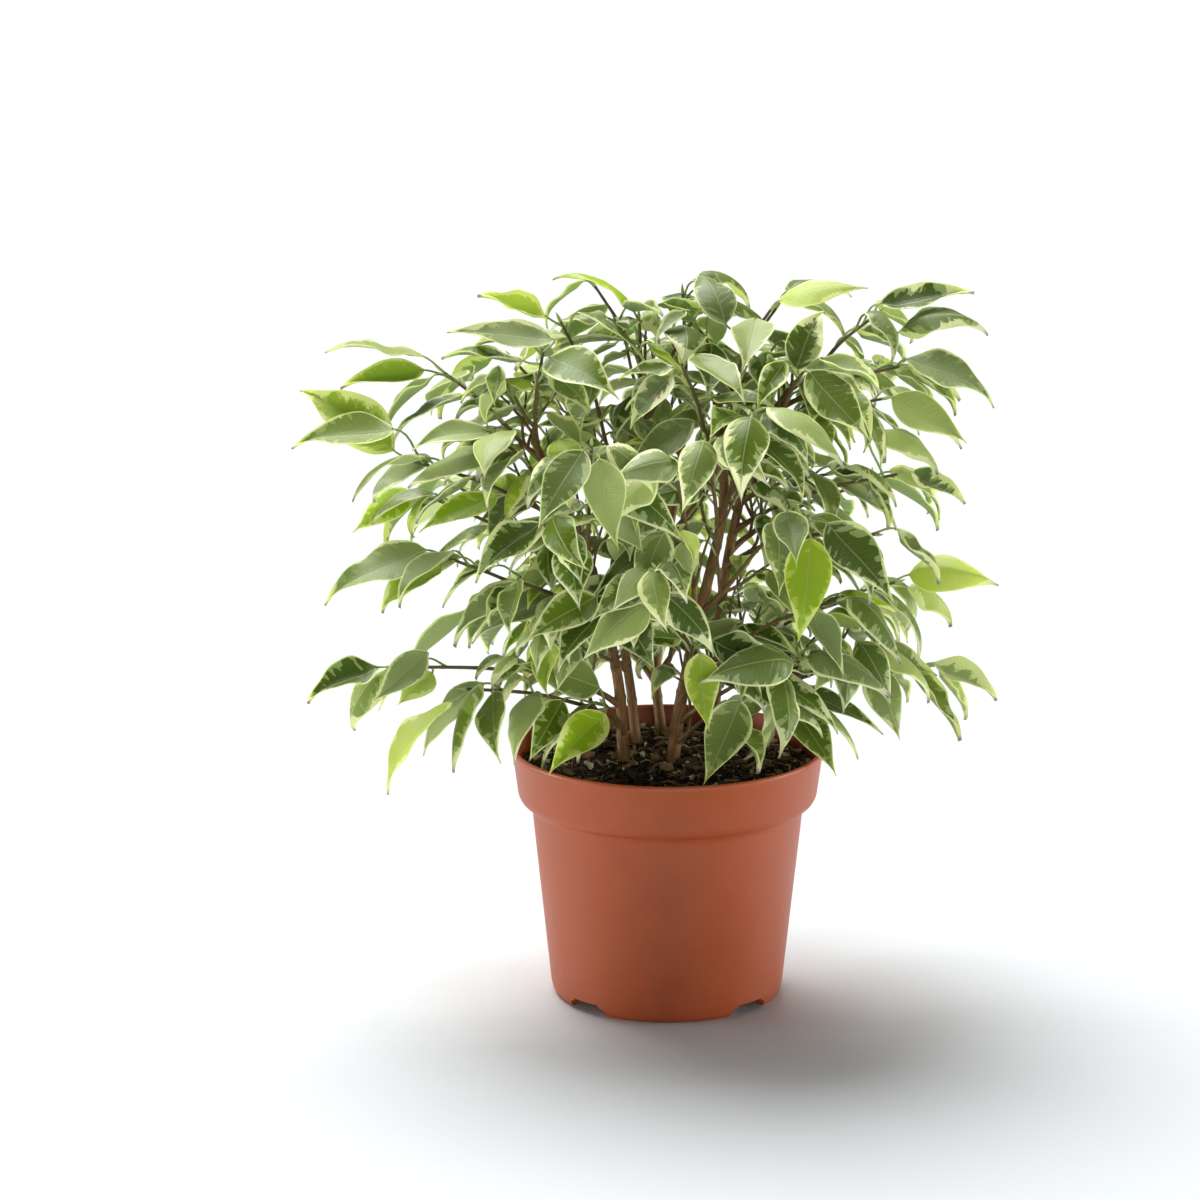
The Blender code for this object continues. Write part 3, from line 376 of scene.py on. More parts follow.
class Leaf:
    """One leaf: a petiole sunk in its twig, and a blade that arches and is folded up or down at its rib."""

    def __init__(self, shoot, share, base, tip, face, width):
        chord = tip - base
        self.root, self.share = share_of(shoot.twig, share)[0], share
        self.base, self.arch = base, math.radians(rng.uniform(22, 72))
        self.along = chord.normalized()
        self.up = (face - self.along * face.dot(self.along)).normalized()
        self.across = self.along.cross(self.up)
        self.bend = chord.length / (2 * math.sin(self.arch / 2))
        self.half_width = width / 2
        self.fold = -1 if rng.random() < 0.6 else 1
        self.phases = {1: rng.uniform(0, math.tau), -1: rng.uniform(0, math.tau), 0: 0}

    def middle(self, t):
        """The blade's arched middle, where t runs from base to tip, and the way the blade faces there."""
        turn = self.arch * (t - 0.5)
        place = (self.base + self.along * self.bend * (math.sin(turn) + math.sin(self.arch / 2))
                 + self.up * self.bend * (math.cos(turn) - math.cos(self.arch / 2)))
        return place, self.up * math.cos(turn) + self.along * math.sin(turn)

    def point(self, t, side, extra=0.0):
        """A point of the solid's blade. side is 1 at the right edge, 0 at the rib and -1 at the left edge."""
        middle, normal = self.middle(t)
        width = leaf_outline(t)
        if side == 0:
            return middle + normal * self.fold * (RIB_DEPTH * (0.5 + 0.5 * width) + extra)
        wave = EDGE_WAVE * math.sin(8 * t + self.phases[side]) * width
        return middle + self.across * side * (self.half_width * width + extra) + normal * wave

    def fine_point(self, t, side):
        """A point of the fine blade, with a deeper fold and a rippled edge, and its upward direction."""
        middle, normal = self.middle(t)
        width = leaf_outline(t)
        rib = self.fold * self.rib_depth * (0.4 + 0.6 * width) * min(1, t / 0.15)
        phase = self.phases[1 if side > 0 else -1]
        ripple = self.ripple * width * (math.sin(8 * t + phase) + 0.4 * math.sin(19 * t + 2 * phase))
        out = abs(side)
        lift = rib * (1 - out ** 1.35) + ripple * out**2 - self.droop * max(0, t - 0.66) ** 2 * 7
        aside = side * self.half_width * width + self.sway * max(0, t - 0.55) ** 2 * 5
        sunk = Vector((0, 0, self.sink * min(1, 4 * t)))
        return middle + self.across * aside + normal * lift - sunk, normal

    def skin(self, extra=0.0, sunk=True):
        """Closed mesh of petiole and blade in three-sided sections. Diagonals run alike on both faces."""
        stalk = (self.base - self.root).normalized()
        start = self.root if sunk else self.root + stalk * 1.6 * MM
        halfway = (stalk + self.along).normalized()
        side = (self.across - halfway * self.across.dot(halfway)).normalized()
        top = side.cross(halfway) * self.fold
        ring = [side * 0.87 - top * 0.5, -side * 0.87 - top * 0.5, top]
        verts = [start + corner * (PETIOLE_ROOT_RADIUS + extra) for corner in ring]
        verts += [self.base + corner * (PETIOLE_RADIUS + extra) for corner in ring]
        faces = [(0, 2, 1), (0, 1, 4, 3), (1, 2, 5, 4), (2, 0, 3, 5)]
        for k, t in enumerate(LEAF_STATIONS):
            verts += [self.point(t, 1, extra), self.point(t, -1, extra), self.point(t, 0, extra)]
            right, left, rib = range(3 + 3 * k, 6 + 3 * k)
            near, far = (left, right) if stalk.dot(self.across) > 0 else (right, left)
            for a, b in ((right, rib), (left, rib), (near, far)):
                faces += [(a, b, b + 3), (a, b + 3, a + 3)]
        verts.append(self.point(1, 0) + self.along * extra)
        tip = len(verts) - 1
        return verts, faces + [(tip - 3, tip - 2, tip), (tip - 2, tip - 1, tip), (tip - 1, tip - 3, tip)]


def tube_skin(points, radii, extra=0.0):
    """Closed four-sided mesh round a path, for the clearance tests."""
    verts, faces = [], []
    for i, point in enumerate(points):
        ahead = (points[min(i + 1, len(points) - 1)] - points[max(i - 1, 0)]).normalized()
        side = ahead.cross(Vector((0.3, 0.2, 0.93))).normalized()
        other = ahead.cross(side)
        radius = radii[0] + (radii[1] - radii[0]) * i / (len(points) - 1) + extra
        verts += [point + way * radius for way in (side, other, -side, -other)]
    for i in range(len(points) - 1):
        for a in range(4):
            b = (a + 1) % 4
            faces.append((4 * i + a, 4 * i + b, 4 * i + 4 + b, 4 * i + 4 + a))
    end = 4 * (len(points) - 1)
    return verts, faces + [(0, 1, 2, 3), (end, end + 1, end + 2, end + 3)]


def shape_of(skin):
    """A mesh's box and the tree that tests what it crosses."""
    verts, faces = skin
    return Vector(map(min, zip(*verts))), Vector(map(max, zip(*verts))), BVHTree.FromPolygons(verts, faces)


def crossed(shape, held, apart_from=()):
    """The owners of what a shape passes through, one after the other."""
    low, high, tree = shape
    for its_low, its_high, its_tree, owner in held:
        if (owner not in apart_from and all(low[k] <= its_high[k] and high[k] >= its_low[k] for k in range(3))
                and tree.overlap(its_tree)):
            yield owner


class Thicket:
    """Everything grown so far, so that a new piece can be kept clear of it."""

    def __init__(self):
        self.held = []

    def add(self, skin, owner):
        self.held.append((*shape_of(skin), owner))

    def is_clear(self, skin, apart_from=()):
        return next(crossed(shape_of(skin), self.held, apart_from), None) is None


class Shoot:
    """A path that leaves grow from. Its first leaves stand for solid ones; the rest are young leaves."""

    def __init__(self, stem, twig, owner):
        self.stem, self.twig, self.owner = stem, twig, owner
        self.leaves, self.solid = [], 0


class Spray(Shoot):
    """A woody branch from its stem and the leafy twig that continues it."""

    def __init__(self, name, stem, fork, up_stem, tip):
        super().__init__(stem, [], f"twig_{name}")
        self.name = name
        self.set_route(fork, up_stem, tip)

    def set_route(self, fork, up_stem, tip):
        route = branch_route(fork, up_stem, tip)
        woody = max(0.22, 1 - TWIG_LENGTH / length_of(route))
        join, ahead = share_of(route, woody)
        self.wood = [route[0], share_of(route, woody * 0.45)[0], join - ahead * JOIN_STRAIGHT, join]
        start = join + ahead * GAP
        self.twig = [start, start + ahead * JOIN_STRAIGHT]
        self.twig += [share_of(route, woody + (1 - woody) * k)[0] for k in (0.5, 1.0)]
        self.route, self.woody = route, woody


def root_for(shoot, share):
    """The nearest free place on the twig for a leaf's root, as a share of its length."""
    share = max(0.06, min(0.965, share))
    taken = [leaf.share for leaf in shoot.leaves]
    for step in sorted((k * 0.012 for k in range(-30, 31)), key=abs):
        if 0.05 < share + step < 0.97 and all(abs(share + step - other) > 0.04 for other in taken):
            return share + step
    return share


def placed_leaf(spray, base, tip, face, draw):
    """A leaf at a stated place, nudged a little from draw to draw."""
    loose = min(draw, 12) * 0.5 * MM
    nudge = Vector([rng.uniform(-loose, loose) for _ in range(3)])
    base, tip = Vector(base) * MM, Vector(tip) * MM + nudge
    share = root_for(spray, nearest_on(spray.twig, base)[1])
    face = Vector(face) + Vector([rng.uniform(-0.05, 0.05) * draw for _ in range(3)])
    width = (tip - base).length * rng.uniform(0.92, 1.05) * LEAF_ASPECT
    return Leaf(spray, share, base, tip, face, max(width, 12 * MM))


def ruled_leaf(shoot, share, hand, draw, lengths=LEAF_LENGTH):
    """A leaf by rule: alternate sides of the twig, held out towards the light, its tip drooping."""
    share = root_for(shoot, share)
    root, ahead = share_of(shoot.twig, share)
    outward = (root - CROWN_CENTRE) / CROWN_REACH
    outward.z *= 0.35
    if outward.length > 1:
        outward.normalize()
    level = ahead.cross(Vector((0, 0, 1))).normalized() * hand
    spread = 0.15 if share > 0.97 else 1.0
    stray = Vector([rng.gauss(0, 0.22 + 0.03 * draw) for _ in range(3)])
    heading = (ahead * 0.6 + level * 0.8 * spread + outward * 0.6 + stray).normalized()
    heading.z = max(-0.75, min(0.55, heading.z))
    heading.normalize()
    base = root + (heading + Vector((0, 0, 0.35))).normalized() * PETIOLE_LENGTH * rng.uniform(0.8, 1.25)
    length = rng.uniform(*lengths) * (1 - 0.012 * draw)
    droop = rng.uniform(0.55, 1.35)
    tip = base + (heading + Vector((0, 0, -droop))).normalized() * length
    face = Vector((0, 0, 1)) + outward * rng.uniform(0.5, 1.4)
    face += Vector([rng.gauss(0, 0.25) for _ in range(3)])
    return Leaf(shoot, share, base, tip, face, length * LEAF_ASPECT * rng.uniform(0.9, 1.12))


def hides_trunks(leaf):
    """True if the leaf would hang before the trunks in one of their windows."""
    places = [leaf.point(t, side) for t, side in ((0.3, 1), (0.3, -1), (0.65, 0), (1.0, 0))]
    return any(p.y < 5 * MM and left < p.x < right and low < p.z < high
               for p in places for left, right, low, high in TRUNK_WINDOWS)


def is_astray(leaf):
    """True if the leaf would hide the trunks or stand up out of the crown."""
    return hides_trunks(leaf) or max(leaf.point(t, 0).z for t in (0.0, 0.5, 1.0)) > CROWN_TOP


def outside_crown(place, lowest, share=1.0):
    """True for a place that is too low or outside a share of the rounded crown."""
    off = place - CROWN_MIDDLE
    return place.z < lowest or sum((off[k] / (CROWN_HALF[k] * share)) ** 2 for k in range(3)) > 1


def young_astray(leaf):
    """True if a young leaf would leave the rounded crown or hide the trunks."""
    places = [leaf.point(t, side) for t, side in ((0.3, 1), (0.3, -1), (0.7, 0), (1.0, 0))]
    return any(outside_crown(place, YOUNG_LOWEST) for place in places) or hides_trunks(leaf)


def settle_leaf(shoot, thicket, make, draws, barred=lambda leaf: False, room=ROOM):
    """Draws a leaf until it is clear of everything and not barred, and adds it to its shoot."""
    for draw in range(draws):
        leaf = make(draw)
        if barred(leaf) or not thicket.is_clear(leaf.skin(CLEARANCE, sunk=False), (shoot.owner,)):
            continue
        places = [leaf.point(t, side) for t in (0.15, 0.5, 0.97) for side in (-1, 0, 1)]
        if any((place - nearest_on(shoot.twig, place, 12)[0]).length < room for place in places):
            continue
        thicket.add(leaf.skin(), f"leaf_{shoot.owner}")
        shoot.leaves.append(leaf)
        return


def settle_spray(name, stems, sprays, thicket):
    """A branch is bent clear by turning the way it leaves its stem and shifting its tip a little."""
    stem, share, tip, _ = SPRAYS[name]
    tip = Vector(tip) * MM
    fork, up_stem = share_of(stems[stem][0][1:], share)
    fork -= up_stem * (2 * MM if share == 1.0 else 0)
    spray = Spray(name, stem, fork, up_stem, tip)
    own = (f"stem_{stem}",)
    kin = own + tuple(f"wood_{other.name}" for other in sprays if other.stem == stem)
    for draw in range(BRANCH_DRAWS):
        if (thicket.is_clear(tube_skin(spray.wood, BRANCH_RADII, CLEARANCE), kin)
                and thicket.is_clear(tube_skin(spray.wood[1:], BRANCH_RADII, CLEARANCE), own)
                and thicket.is_clear(tube_skin(spray.twig, TWIG_RADII, CLEARANCE))):
            break
        turn = Vector([rng.uniform(-0.3, 0.3) * (1 + draw / 20) for _ in range(3)])
        shift = Vector([rng.uniform(-3, 3) * MM for _ in range(3)])
        spray.set_route(fork, (up_stem + turn).normalized(), tip + shift)
    thicket.add(tube_skin(spray.wood, BRANCH_RADII), f"wood_{name}")
    thicket.add(tube_skin(spray.twig, TWIG_RADII), spray.owner)
    return spray


def grow_plant():
    """The stems' routes, the sprays with their leaves, each clear of the others, and the thicket."""
    thicket = Thicket()
    ring = [Vector((math.cos(a), math.sin(a), 0)) for a in (math.tau * k / 24 for k in range(25))]
    rim = [r * (RIM_RADIUS - WALL / 2) + Vector((0, 0, POT_HEIGHT - 3 * MM)) for r in ring]
    thicket.add(tube_skin(rim, (2.8 * MM, 2.8 * MM)), "rim")
    soil = [Vector((0, 0, z)) for z in (40 * MM, SOIL_CROWN_HEIGHT + SOIL_BUMP)]
    thicket.add(tube_skin(soil, (90 * MM, 90 * MM)), "soil")
    stems, sprays = {}, []
    for name, (radius, route) in STEMS.items():
        above = curve_through([Vector(p) * MM for p in route], 2)
        foot = above[0].copy()
        foot.z = STEM_ROOT_HEIGHT
        stems[name] = ([foot, *above], radius * MM)
        thicket.add(tube_skin([foot, *above], (radius * MM, radius * 0.55 * MM)), f"stem_{name}")
    for name in SPRAYS:
        sprays.append(settle_spray(name, stems, sprays, thicket))
    for spray in sprays:
        for base, tip, face in SPRAYS[spray.name][3]:
            settle_leaf(spray, thicket, lambda d: placed_leaf(spray, base, tip, face, d), PLACED_DRAWS)
    for turn in range(LEAVES_PER_SPRAY):
        for spray in sprays:
            if len(spray.leaves) >= LEAVES_PER_SPRAY:
                continue
            share = 1 - turn / (LEAVES_PER_SPRAY - 0.4) * 0.92
            hand = 1 if turn % 2 else -1
            settle_leaf(spray, thicket, lambda d: ruled_leaf(spray, share, hand, d), RULED_DRAWS, is_astray)
    for spray in sprays:
        spray.solid = len(spray.leaves)
    return stems, sprays, thicket


def settle_young_leaf(shoot, thicket, share, hand):
    settle_leaf(shoot, thicket, lambda d: ruled_leaf(shoot, share, hand, d, YOUNG_LENGTH), YOUNG_DRAWS,
                young_astray, YOUNG_ROOM)


def side_shoot(spray, thicket, number):
    """A thin shoot off a branch, bent until it is clear, or None."""
    woody = [share_of(spray.route, spray.woody * share)[0] for share in (0.0, 0.33, 0.66, 1.0)]
    for _ in range(SHOOT_DRAWS):
        fork, ahead = share_of(woody, rng.uniform(0.3, 0.9))
        outward = (fork - CROWN_CENTRE) / CROWN_REACH
        stray = Vector((rng.gauss(0, 0.6), rng.gauss(0, 0.6), rng.uniform(0.1, 1.1)))
        heading = ahead * 0.5 + outward * 0.5 + stray
        tip = fork + heading.normalized() * rng.uniform(*SHOOT_LENGTH)
        if outside_crown(tip, SHOOT_LOWEST, SHOOT_CROWN):
            continue
        route = branch_route(fork, ahead, tip, 8)
        own = (f"wood_{spray.name}", f"stem_{spray.stem}")
        if not thicket.is_clear(tube_skin(route[1:], SHOOT_RADII, CLEARANCE), own):
            continue
        owner = f"shoot_{spray.name}_{number}"
        thicket.add(tube_skin(route, SHOOT_RADII), owner)
        return Shoot(spray.stem, route, owner)
    return None


def grow_young(sprays, thicket):
    """Young leaves between the others on every twig, and side shoots off the branches with their own."""
    for _ in range(YOUNG_PER_TWIG):
        for spray in sprays:
            settle_young_leaf(spray, thicket, rng.uniform(0.1, 0.95), rng.choice((1, -1)))
    made = [side_shoot(spray, thicket, number) for number in range(2) for spray in sprays]
    side_shoots = [shoot for shoot in made if shoot]
    for turn in range(YOUNG_PER_SHOOT):
        for shoot in side_shoots:
            settle_young_leaf(shoot, thicket, 1 - turn / YOUNG_PER_SHOOT * 0.8, 1 if turn % 2 else -1)
    return side_shoots


def scene_object(name, data):
    made = bpy.data.objects.new(name, data)
    bpy.context.scene.collection.objects.link(made)
    return made


class Gathered:
    """Faces of one piece, with what the materials read at each corner. place is in millimetres: (along,
    across, half width) on a blade and (along, x, y) in wood. kind is (tone, creaminess, seed) on a leaf,
    (how much it is twig, 0, seed) in wood and three chances, the first for its shade, on a soil scrap."""

    def __init__(self):
        self.corners, self.faces, self.worn = [], [], []

    # pale is a leaf's painted sheen: how far the whole blade is painted pale grey-green. below marks a
    # blade's underside.
    def add(self, point, place, kind, below=0.0, pale=0.0):
        self.corners.append((point, place, kind, below, pale))
        return len(self.corners) - 1

    def cover(self, ring, material=0):
        self.faces.append(ring)
        self.worn.append(material)

    def piece(self, name, materials, sharp_above=70):
        """The gathered faces as one object that rides on the part."""
        points, places, kinds, below, pale = zip(*self.corners)
        mesh = bpy.data.meshes.new(name)
        mesh.from_pydata(points, [], self.faces)
        mesh.polygons.foreach_set("material_index", self.worn)
        for label, values in (("place", places), ("kind", kinds)):
            layer = mesh.attributes.new(label, "FLOAT_VECTOR", "POINT")
            layer.data.foreach_set("vector", [number for value in values for number in value])
        for label, values in (("below", below), ("pale", pale)):
            mesh.attributes.new(label, "FLOAT", "POINT").data.foreach_set("value", values)
        for material in materials:
            mesh.materials.append(material)
        mesh.shade_smooth()
        mesh.set_sharp_from_angle(angle=math.radians(sharp_above))
        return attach(scene_object(name, mesh), "root")


def blade_share(row, rows):
    """How far along the blade a row lies, from just past its base to just short of its tip."""
    return 0.004 + 0.994 * row / rows


def add_blade(gathered, leaf):
    """A blade as a thin closed sheet: a grid above, a grid below, and a strip round the edge."""
    length = (leaf.point(1, 0) - leaf.base).length / MM
    kind = (leaf.tone, leaf.cream, leaf.seed)
    grids = []
    for below in (0, 1):
        grid = []
        for row in range(BLADE_ROWS + 1):
            t = blade_share(row, BLADE_ROWS)
            half = leaf.half_width * leaf_outline(t) / MM
            thick = BLADE_THICKNESS * (0.5 - below) * min(1, 0.35 + 6 * (1 - t))
            line = []
            for column in range(BLADE_COLUMNS + 1):
                side = 2 * column / BLADE_COLUMNS - 1
                point, normal = leaf.fine_point(t, side)
                place = (t * length, side * half, half)
                line.append(gathered.add(point + normal * thick, place, kind, below, leaf.pale))
            grid.append(line)
        grids.append(grid)
    top, under = grids
    for row in range(BLADE_ROWS):
        for column in range(BLADE_COLUMNS):
            for grid, order in ((top, (0, 1, 2, 3)), (under, (0, 3, 2, 1))):
                ring = (*grid[row][column:column + 2], *grid[row + 1][column:column + 2][::-1])
                gathered.cover([ring[k] for k in order], LEAF)
        for column, step in ((0, 1), (BLADE_COLUMNS, -1)):
            strip = (top[row][column], top[row + 1][column], under[row + 1][column], under[row][column])
            gathered.cover(strip[::step], LEAF)
    for row, step in ((0, 1), (BLADE_ROWS, -1)):
        for column in range(BLADE_COLUMNS):
            strip = (*top[row][column:column + 2], *under[row][column:column + 2][::-1])
            gathered.cover(strip[::step], LEAF)


def add_tube(gathered, points, radii, sides, material, kind):
    """A closed round tube along a path, one radius a point. kind is one triple, or one for each point."""
    ahead = (points[1] - points[0]).normalized()
    side = ahead.cross(Vector((0.3, 0.2, 0.93))).normalized()
    rings, along = [], 0.0
    for i, (point, radius) in enumerate(zip(points, radii)):
        if i:
            along += (point - points[i - 1]).length / MM
        ahead = (points[min(i + 1, len(points) - 1)] - points[max(i - 1, 0)]).normalized()
        side = (side - ahead * side.dot(ahead)).normalized()
        other = ahead.cross(side)
        own = kind[i] if isinstance(kind, list) else kind
        ring = []
        for a in range(sides):
            turn = math.tau * a / sides
            x, y = math.cos(turn) * radius, math.sin(turn) * radius
            ring.append(gathered.add(point + side * x + other * y, (along, x / MM, y / MM), own))
        rings.append(ring)
    for near, far in zip(rings, rings[1:]):
        for a in range(sides):
            b = (a + 1) % sides
            gathered.cover((near[a], near[b], far[b], far[a]), material)
    gathered.cover(rings[0][::-1], material)
    gathered.cover(rings[-1], material)


def tapering(ends, count):
    """Radii that change evenly from one end to the other in a number of steps."""
    return [ends[0] + (ends[1] - ends[0]) * k / count for k in range(count + 1)]


def add_leaves(gathered, leaves, path):
    """Each leaf's blade and its petiole: out of the twig, round into the blade, thinning to the midrib."""
    for leaf in leaves:
        root = nearest_on(path, leaf.root, 40)[0]
        turn = -leaf.arch / 2
        entering = leaf.along * math.cos(turn) - leaf.up * math.sin(turn)
        reach = (leaf.base - root).length
        leaving = (leaf.base - root).normalized()
        points = bezier(root, root + leaving * reach * 0.45, leaf.base - entering * reach * 0.3,
                        leaf.base + entering * 1.2 * MM, 6)
        kind = (leaf.tone, leaf.cream, leaf.seed)
        add_tube(gathered, points, tapering(STALK_RADII, 6), STALK_SIDES, STALK, kind)
        add_blade(gathered, leaf)


def dress_leaf(leaf, sunlit, looks):
    """Draws what makes one leaf unlike the next. Its tone goes from 0 for deep green to 1 for yellow-green.
    Backlit leaves get a painted glow near 1. Leaves further from the crown's middle, at the top and outside,
    are fresher and yellower; the inner ones are darker green, partly for their age and partly as painted
    shade."""
    off = leaf.base - CROWN_MIDDLE
    # Backlit leaves get a painted glow: their tone is set near yellow-green for the light shining through
    # them.
    if sunlit:
        leaf.tone = looks.uniform(0.75, 1.0)
    else:
        # The inner leaves are darker green: older, and also painted shade inside the crown.
        leaf.tone = min(0.6, max(0.0, looks.gauss(0.08, 0.1) + 0.14 * (off.length / (110 * MM))))
    leaf.rib_depth = looks.uniform(*FINE_RIB_DEPTH)
    leaf.ripple = looks.uniform(*RIPPLE)
    leaf.droop = looks.uniform(*TIP_DROOP)
    leaf.sway = looks.uniform(-TIP_SWAY, TIP_SWAY)
    # Some leaves are painted pale grey-green all over, a painted sheen of the bright surroundings: more often
    # further out, and most on the left, where the key light falls.
    outer = min(1, (off.length - min(0, off.x) * 0.5) / CROWN_HALF.x)
    leaf.pale = looks.random() ** (2.8 - 1.9 * outer ** 2)
    leaf.cream = looks.betavariate(0.7, 1.9)
    leaf.seed = looks.random()
    leaf.sink = 0.0


def highest(leaf):
    return max(leaf.fine_point(k / 20, side / 4)[0].z for k in range(21) for side in range(-4, 5))


def blade_sheet(leaf):
    """The fine blade as one open sheet, to test what it crosses."""
    verts = [leaf.fine_point(blade_share(row, SHEET_ROWS), 2 * column / SHEET_COLUMNS - 1)[0]
             for row in range(SHEET_ROWS + 1) for column in range(SHEET_COLUMNS + 1)]
    step = SHEET_COLUMNS + 1
    corners = [row * step + column for row in range(SHEET_ROWS) for column in range(SHEET_COLUMNS)]
    return verts, [(k, k + 1, k + step + 1, k + step) for k in corners]


def lay_blades(leaves, thicket):
    """Fine blades that cross each other or a twig, or rise out of the solids' box, are brought step by step
    towards the form of the solid leaves. One that is still too high is lowered."""
    wood = [held for held in thicket.held if not held[3].startswith("leaf_")]
    ceiling = cad_high.z - TOP_MARGIN
    for _ in range(SETTLING_STEPS):
        laid, unsettled = list(wood), set()
        for leaf in leaves:
            shape = shape_of(blade_sheet(leaf))
            met = list(crossed(shape, laid))
            unsettled.update(other for other in met if isinstance(other, Leaf))
            if met or highest(leaf) > ceiling:
                unsettled.add(leaf)
            laid.append((*shape, leaf))
        for leaf in unsettled:
            leaf.rib_depth += SETTLING_SHARE * (RIB_DEPTH - leaf.rib_depth)
            leaf.ripple += SETTLING_SHARE * (EDGE_WAVE - leaf.ripple)
            leaf.droop *= 1 - SETTLING_SHARE
            leaf.sway *= 1 - SETTLING_SHARE
    for leaf in leaves:
        while highest(leaf) > ceiling:
            leaf.sink += 0.1 * MM


def swollen(points, radii, looks):
    """Radii with the rings that old leaf nodes leave along the wood."""
    spots, place, length = [], looks.uniform(*NODE_SPACING), length_of(points)
    while place < length:
        spots.append(place)
        place += looks.uniform(*NODE_SPACING)
    made, along = [], 0.0
    for i, radius in enumerate(radii):
        if i:
            along += (points[i] - points[i - 1]).length
        ring = sum(math.exp(-(((along - spot) / (0.9 * MM)) ** 2)) for spot in spots)
        made.append(radius * (1 + 0.13 * ring))
    return made


def evened(points, spacing):
    """The path resampled to an even spacing."""
    length = length_of(points)
    count = max(4, round(length / spacing))
    made, along, index = [points[0]], 0.0, 0
    for k in range(1, count):
        goal = length * k / count
        while along + (points[index + 1] - points[index]).length < goal:
            along += (points[index + 1] - points[index]).length
            index += 1
        step = points[index + 1] - points[index]
        made.append(points[index] + step * ((goal - along) / step.length))
    return made + [points[-1]]


def make_stem(name, points, radius, sprays, materials, looks):
    """One trunk with its woody branches, ringed by old nodes and flared at the soil."""
    gathered = Gathered()
    route = [Vector(place) * MM for place in STEMS[name][1]]
    smooth = evened([points[0], *curve_through(route, 12)], 0.8 * MM)
    radii = []
    for k, point in enumerate(smooth):
        flare = ROOT_FLARE * math.exp(-abs(point.z - SOIL_CROWN_HEIGHT) / (4.5 * MM))
        radii.append(radius * TRUNK_SLIM * (1 - 0.45 * k / (len(smooth) - 1)) * (1 + flare))
    add_tube(gathered, smooth, swollen(smooth, radii, looks), WOOD_SIDES, 0, (0.0, 0.0, looks.random()))
    for spray in sprays:
        if spray.stem != name:
            continue
        wood = evened([share_of(spray.route, spray.woody * k / 24)[0] for k in range(25)], 0.9 * MM)
        count = len(wood) - 1
        # The branch is half as thick again where it leaves the trunk.
        radii = [BRANCH_RADII[0] * (1 + 0.5 * math.exp(-k * 0.9 / 3))
                 + (BRANCH_RADII[1] - BRANCH_RADII[0]) * k / count for k in range(count + 1)]
        add_tube(gathered, wood, swollen(wood, radii, looks), WOOD_SIDES - 2, 0, (0.25, 0.0, looks.random()))
    piece = gathered.piece(f"trunk_{name}", materials)
    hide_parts(f"stem_{name}")


def add_twig(gathered, path, radii, looks):
    """A twig, browner at its root and greener at its end, with the pointed bud that closes it."""
    path = evened(path, 1.1 * MM)
    count = len(path) - 1
    seed = looks.random()
    kinds = [(0.35 + 0.55 * k / count, 0.0, seed) for k in range(count + 1)]
    add_tube(gathered, path, swollen(path, tapering(radii, count), looks), TWIG_SIDES, BARK, kinds)
    ahead = (path[-1] - path[-2]).normalized()
    bud = [path[-1] + ahead * BUD_LENGTH * share for share in (-0.1, 0.15, 0.4, 0.7, 1.0)]
    plump = [radii[1] * share for share in (0.95, 1.25, 1.15, 0.7, 0.12)]
    add_tube(gathered, bud, plump, STALK_SIDES, STALK, (0.6, 0.5, seed))


def make_spray(spray, materials, looks):
    """One spray: its twig, led back into the end of its branch, and the leaves of the solid one."""
    gathered = Gathered()
    led_back = spray.wood[-1] - (spray.twig[1] - spray.twig[0]) * 0.3
    path = curve_through([led_back, *spray.twig], 6)
    add_twig(gathered, path, TWIG_RADII, looks)
    add_leaves(gathered, spray.leaves[:spray.solid], path)
    piece = gathered.piece(f"leaves_{spray.name}", materials)
    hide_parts(f"spray_{spray.name}")


def make_young(name, sprays, side_shoots, materials, looks):
    """The young leaves and side shoots of one stem's branches."""
    gathered = Gathered()
    for shoot in sprays + side_shoots:
        if shoot.stem != name:
            continue
        if isinstance(shoot, Spray):
            path = curve_through(shoot.twig, 6)
        else:
            path = shoot.twig
            add_twig(gathered, path, SHOOT_RADII, looks)
        add_leaves(gathered, shoot.leaves[shoot.solid:], path)
    gathered.piece(f"young_leaves_{name}", materials)


def filleted(profile, radius, steps=4):
    """The profile with its inner corners rounded by short curves."""
    made = [profile[0]]
    for before, corner, after in zip(profile, profile[1:], profile[2:]):
        before, corner, after = Vector(before), Vector(corner), Vector(after)
        back, on = before - corner, after - corner
        reach = min(radius, back.length * 0.42, on.length * 0.42)
        start, end = corner + back.normalized() * reach, corner + on.normalized() * reach
        for k in range(steps + 1):
            t = k / steps
            made.append(tuple(start * (1 - t) ** 2 + corner * 2 * t * (1 - t) + end * t**2))
    return made + [profile[-1]]


def pot_inside(offset):
    """The pot's inner profile from the axis to the top of the collar, moved inwards by an offset."""
    channel_top = CHANNEL_HEIGHT + WALL + offset
    body_top = POT_HEIGHT - COLLAR_HEIGHT - SHOULDER_DROP
    return [
        (0, WALL + offset),
        (CHANNEL_INNER_RADIUS - WALL - offset, WALL + offset),
        (CHANNEL_INNER_RADIUS + 0.5 * MM - offset, channel_top),
        (BODY_FOOT_RADIUS - WALL - offset - 1.5 * MM, channel_top),
        (BODY_FOOT_RADIUS - WALL - offset + 0.4 * MM, channel_top + 3 * MM),
        (BODY_TOP_RADIUS - WALL - offset, body_top),
        (COLLAR_FOOT_RADIUS - WALL - offset, COLLAR_INSIDE_HEIGHT),
    ]


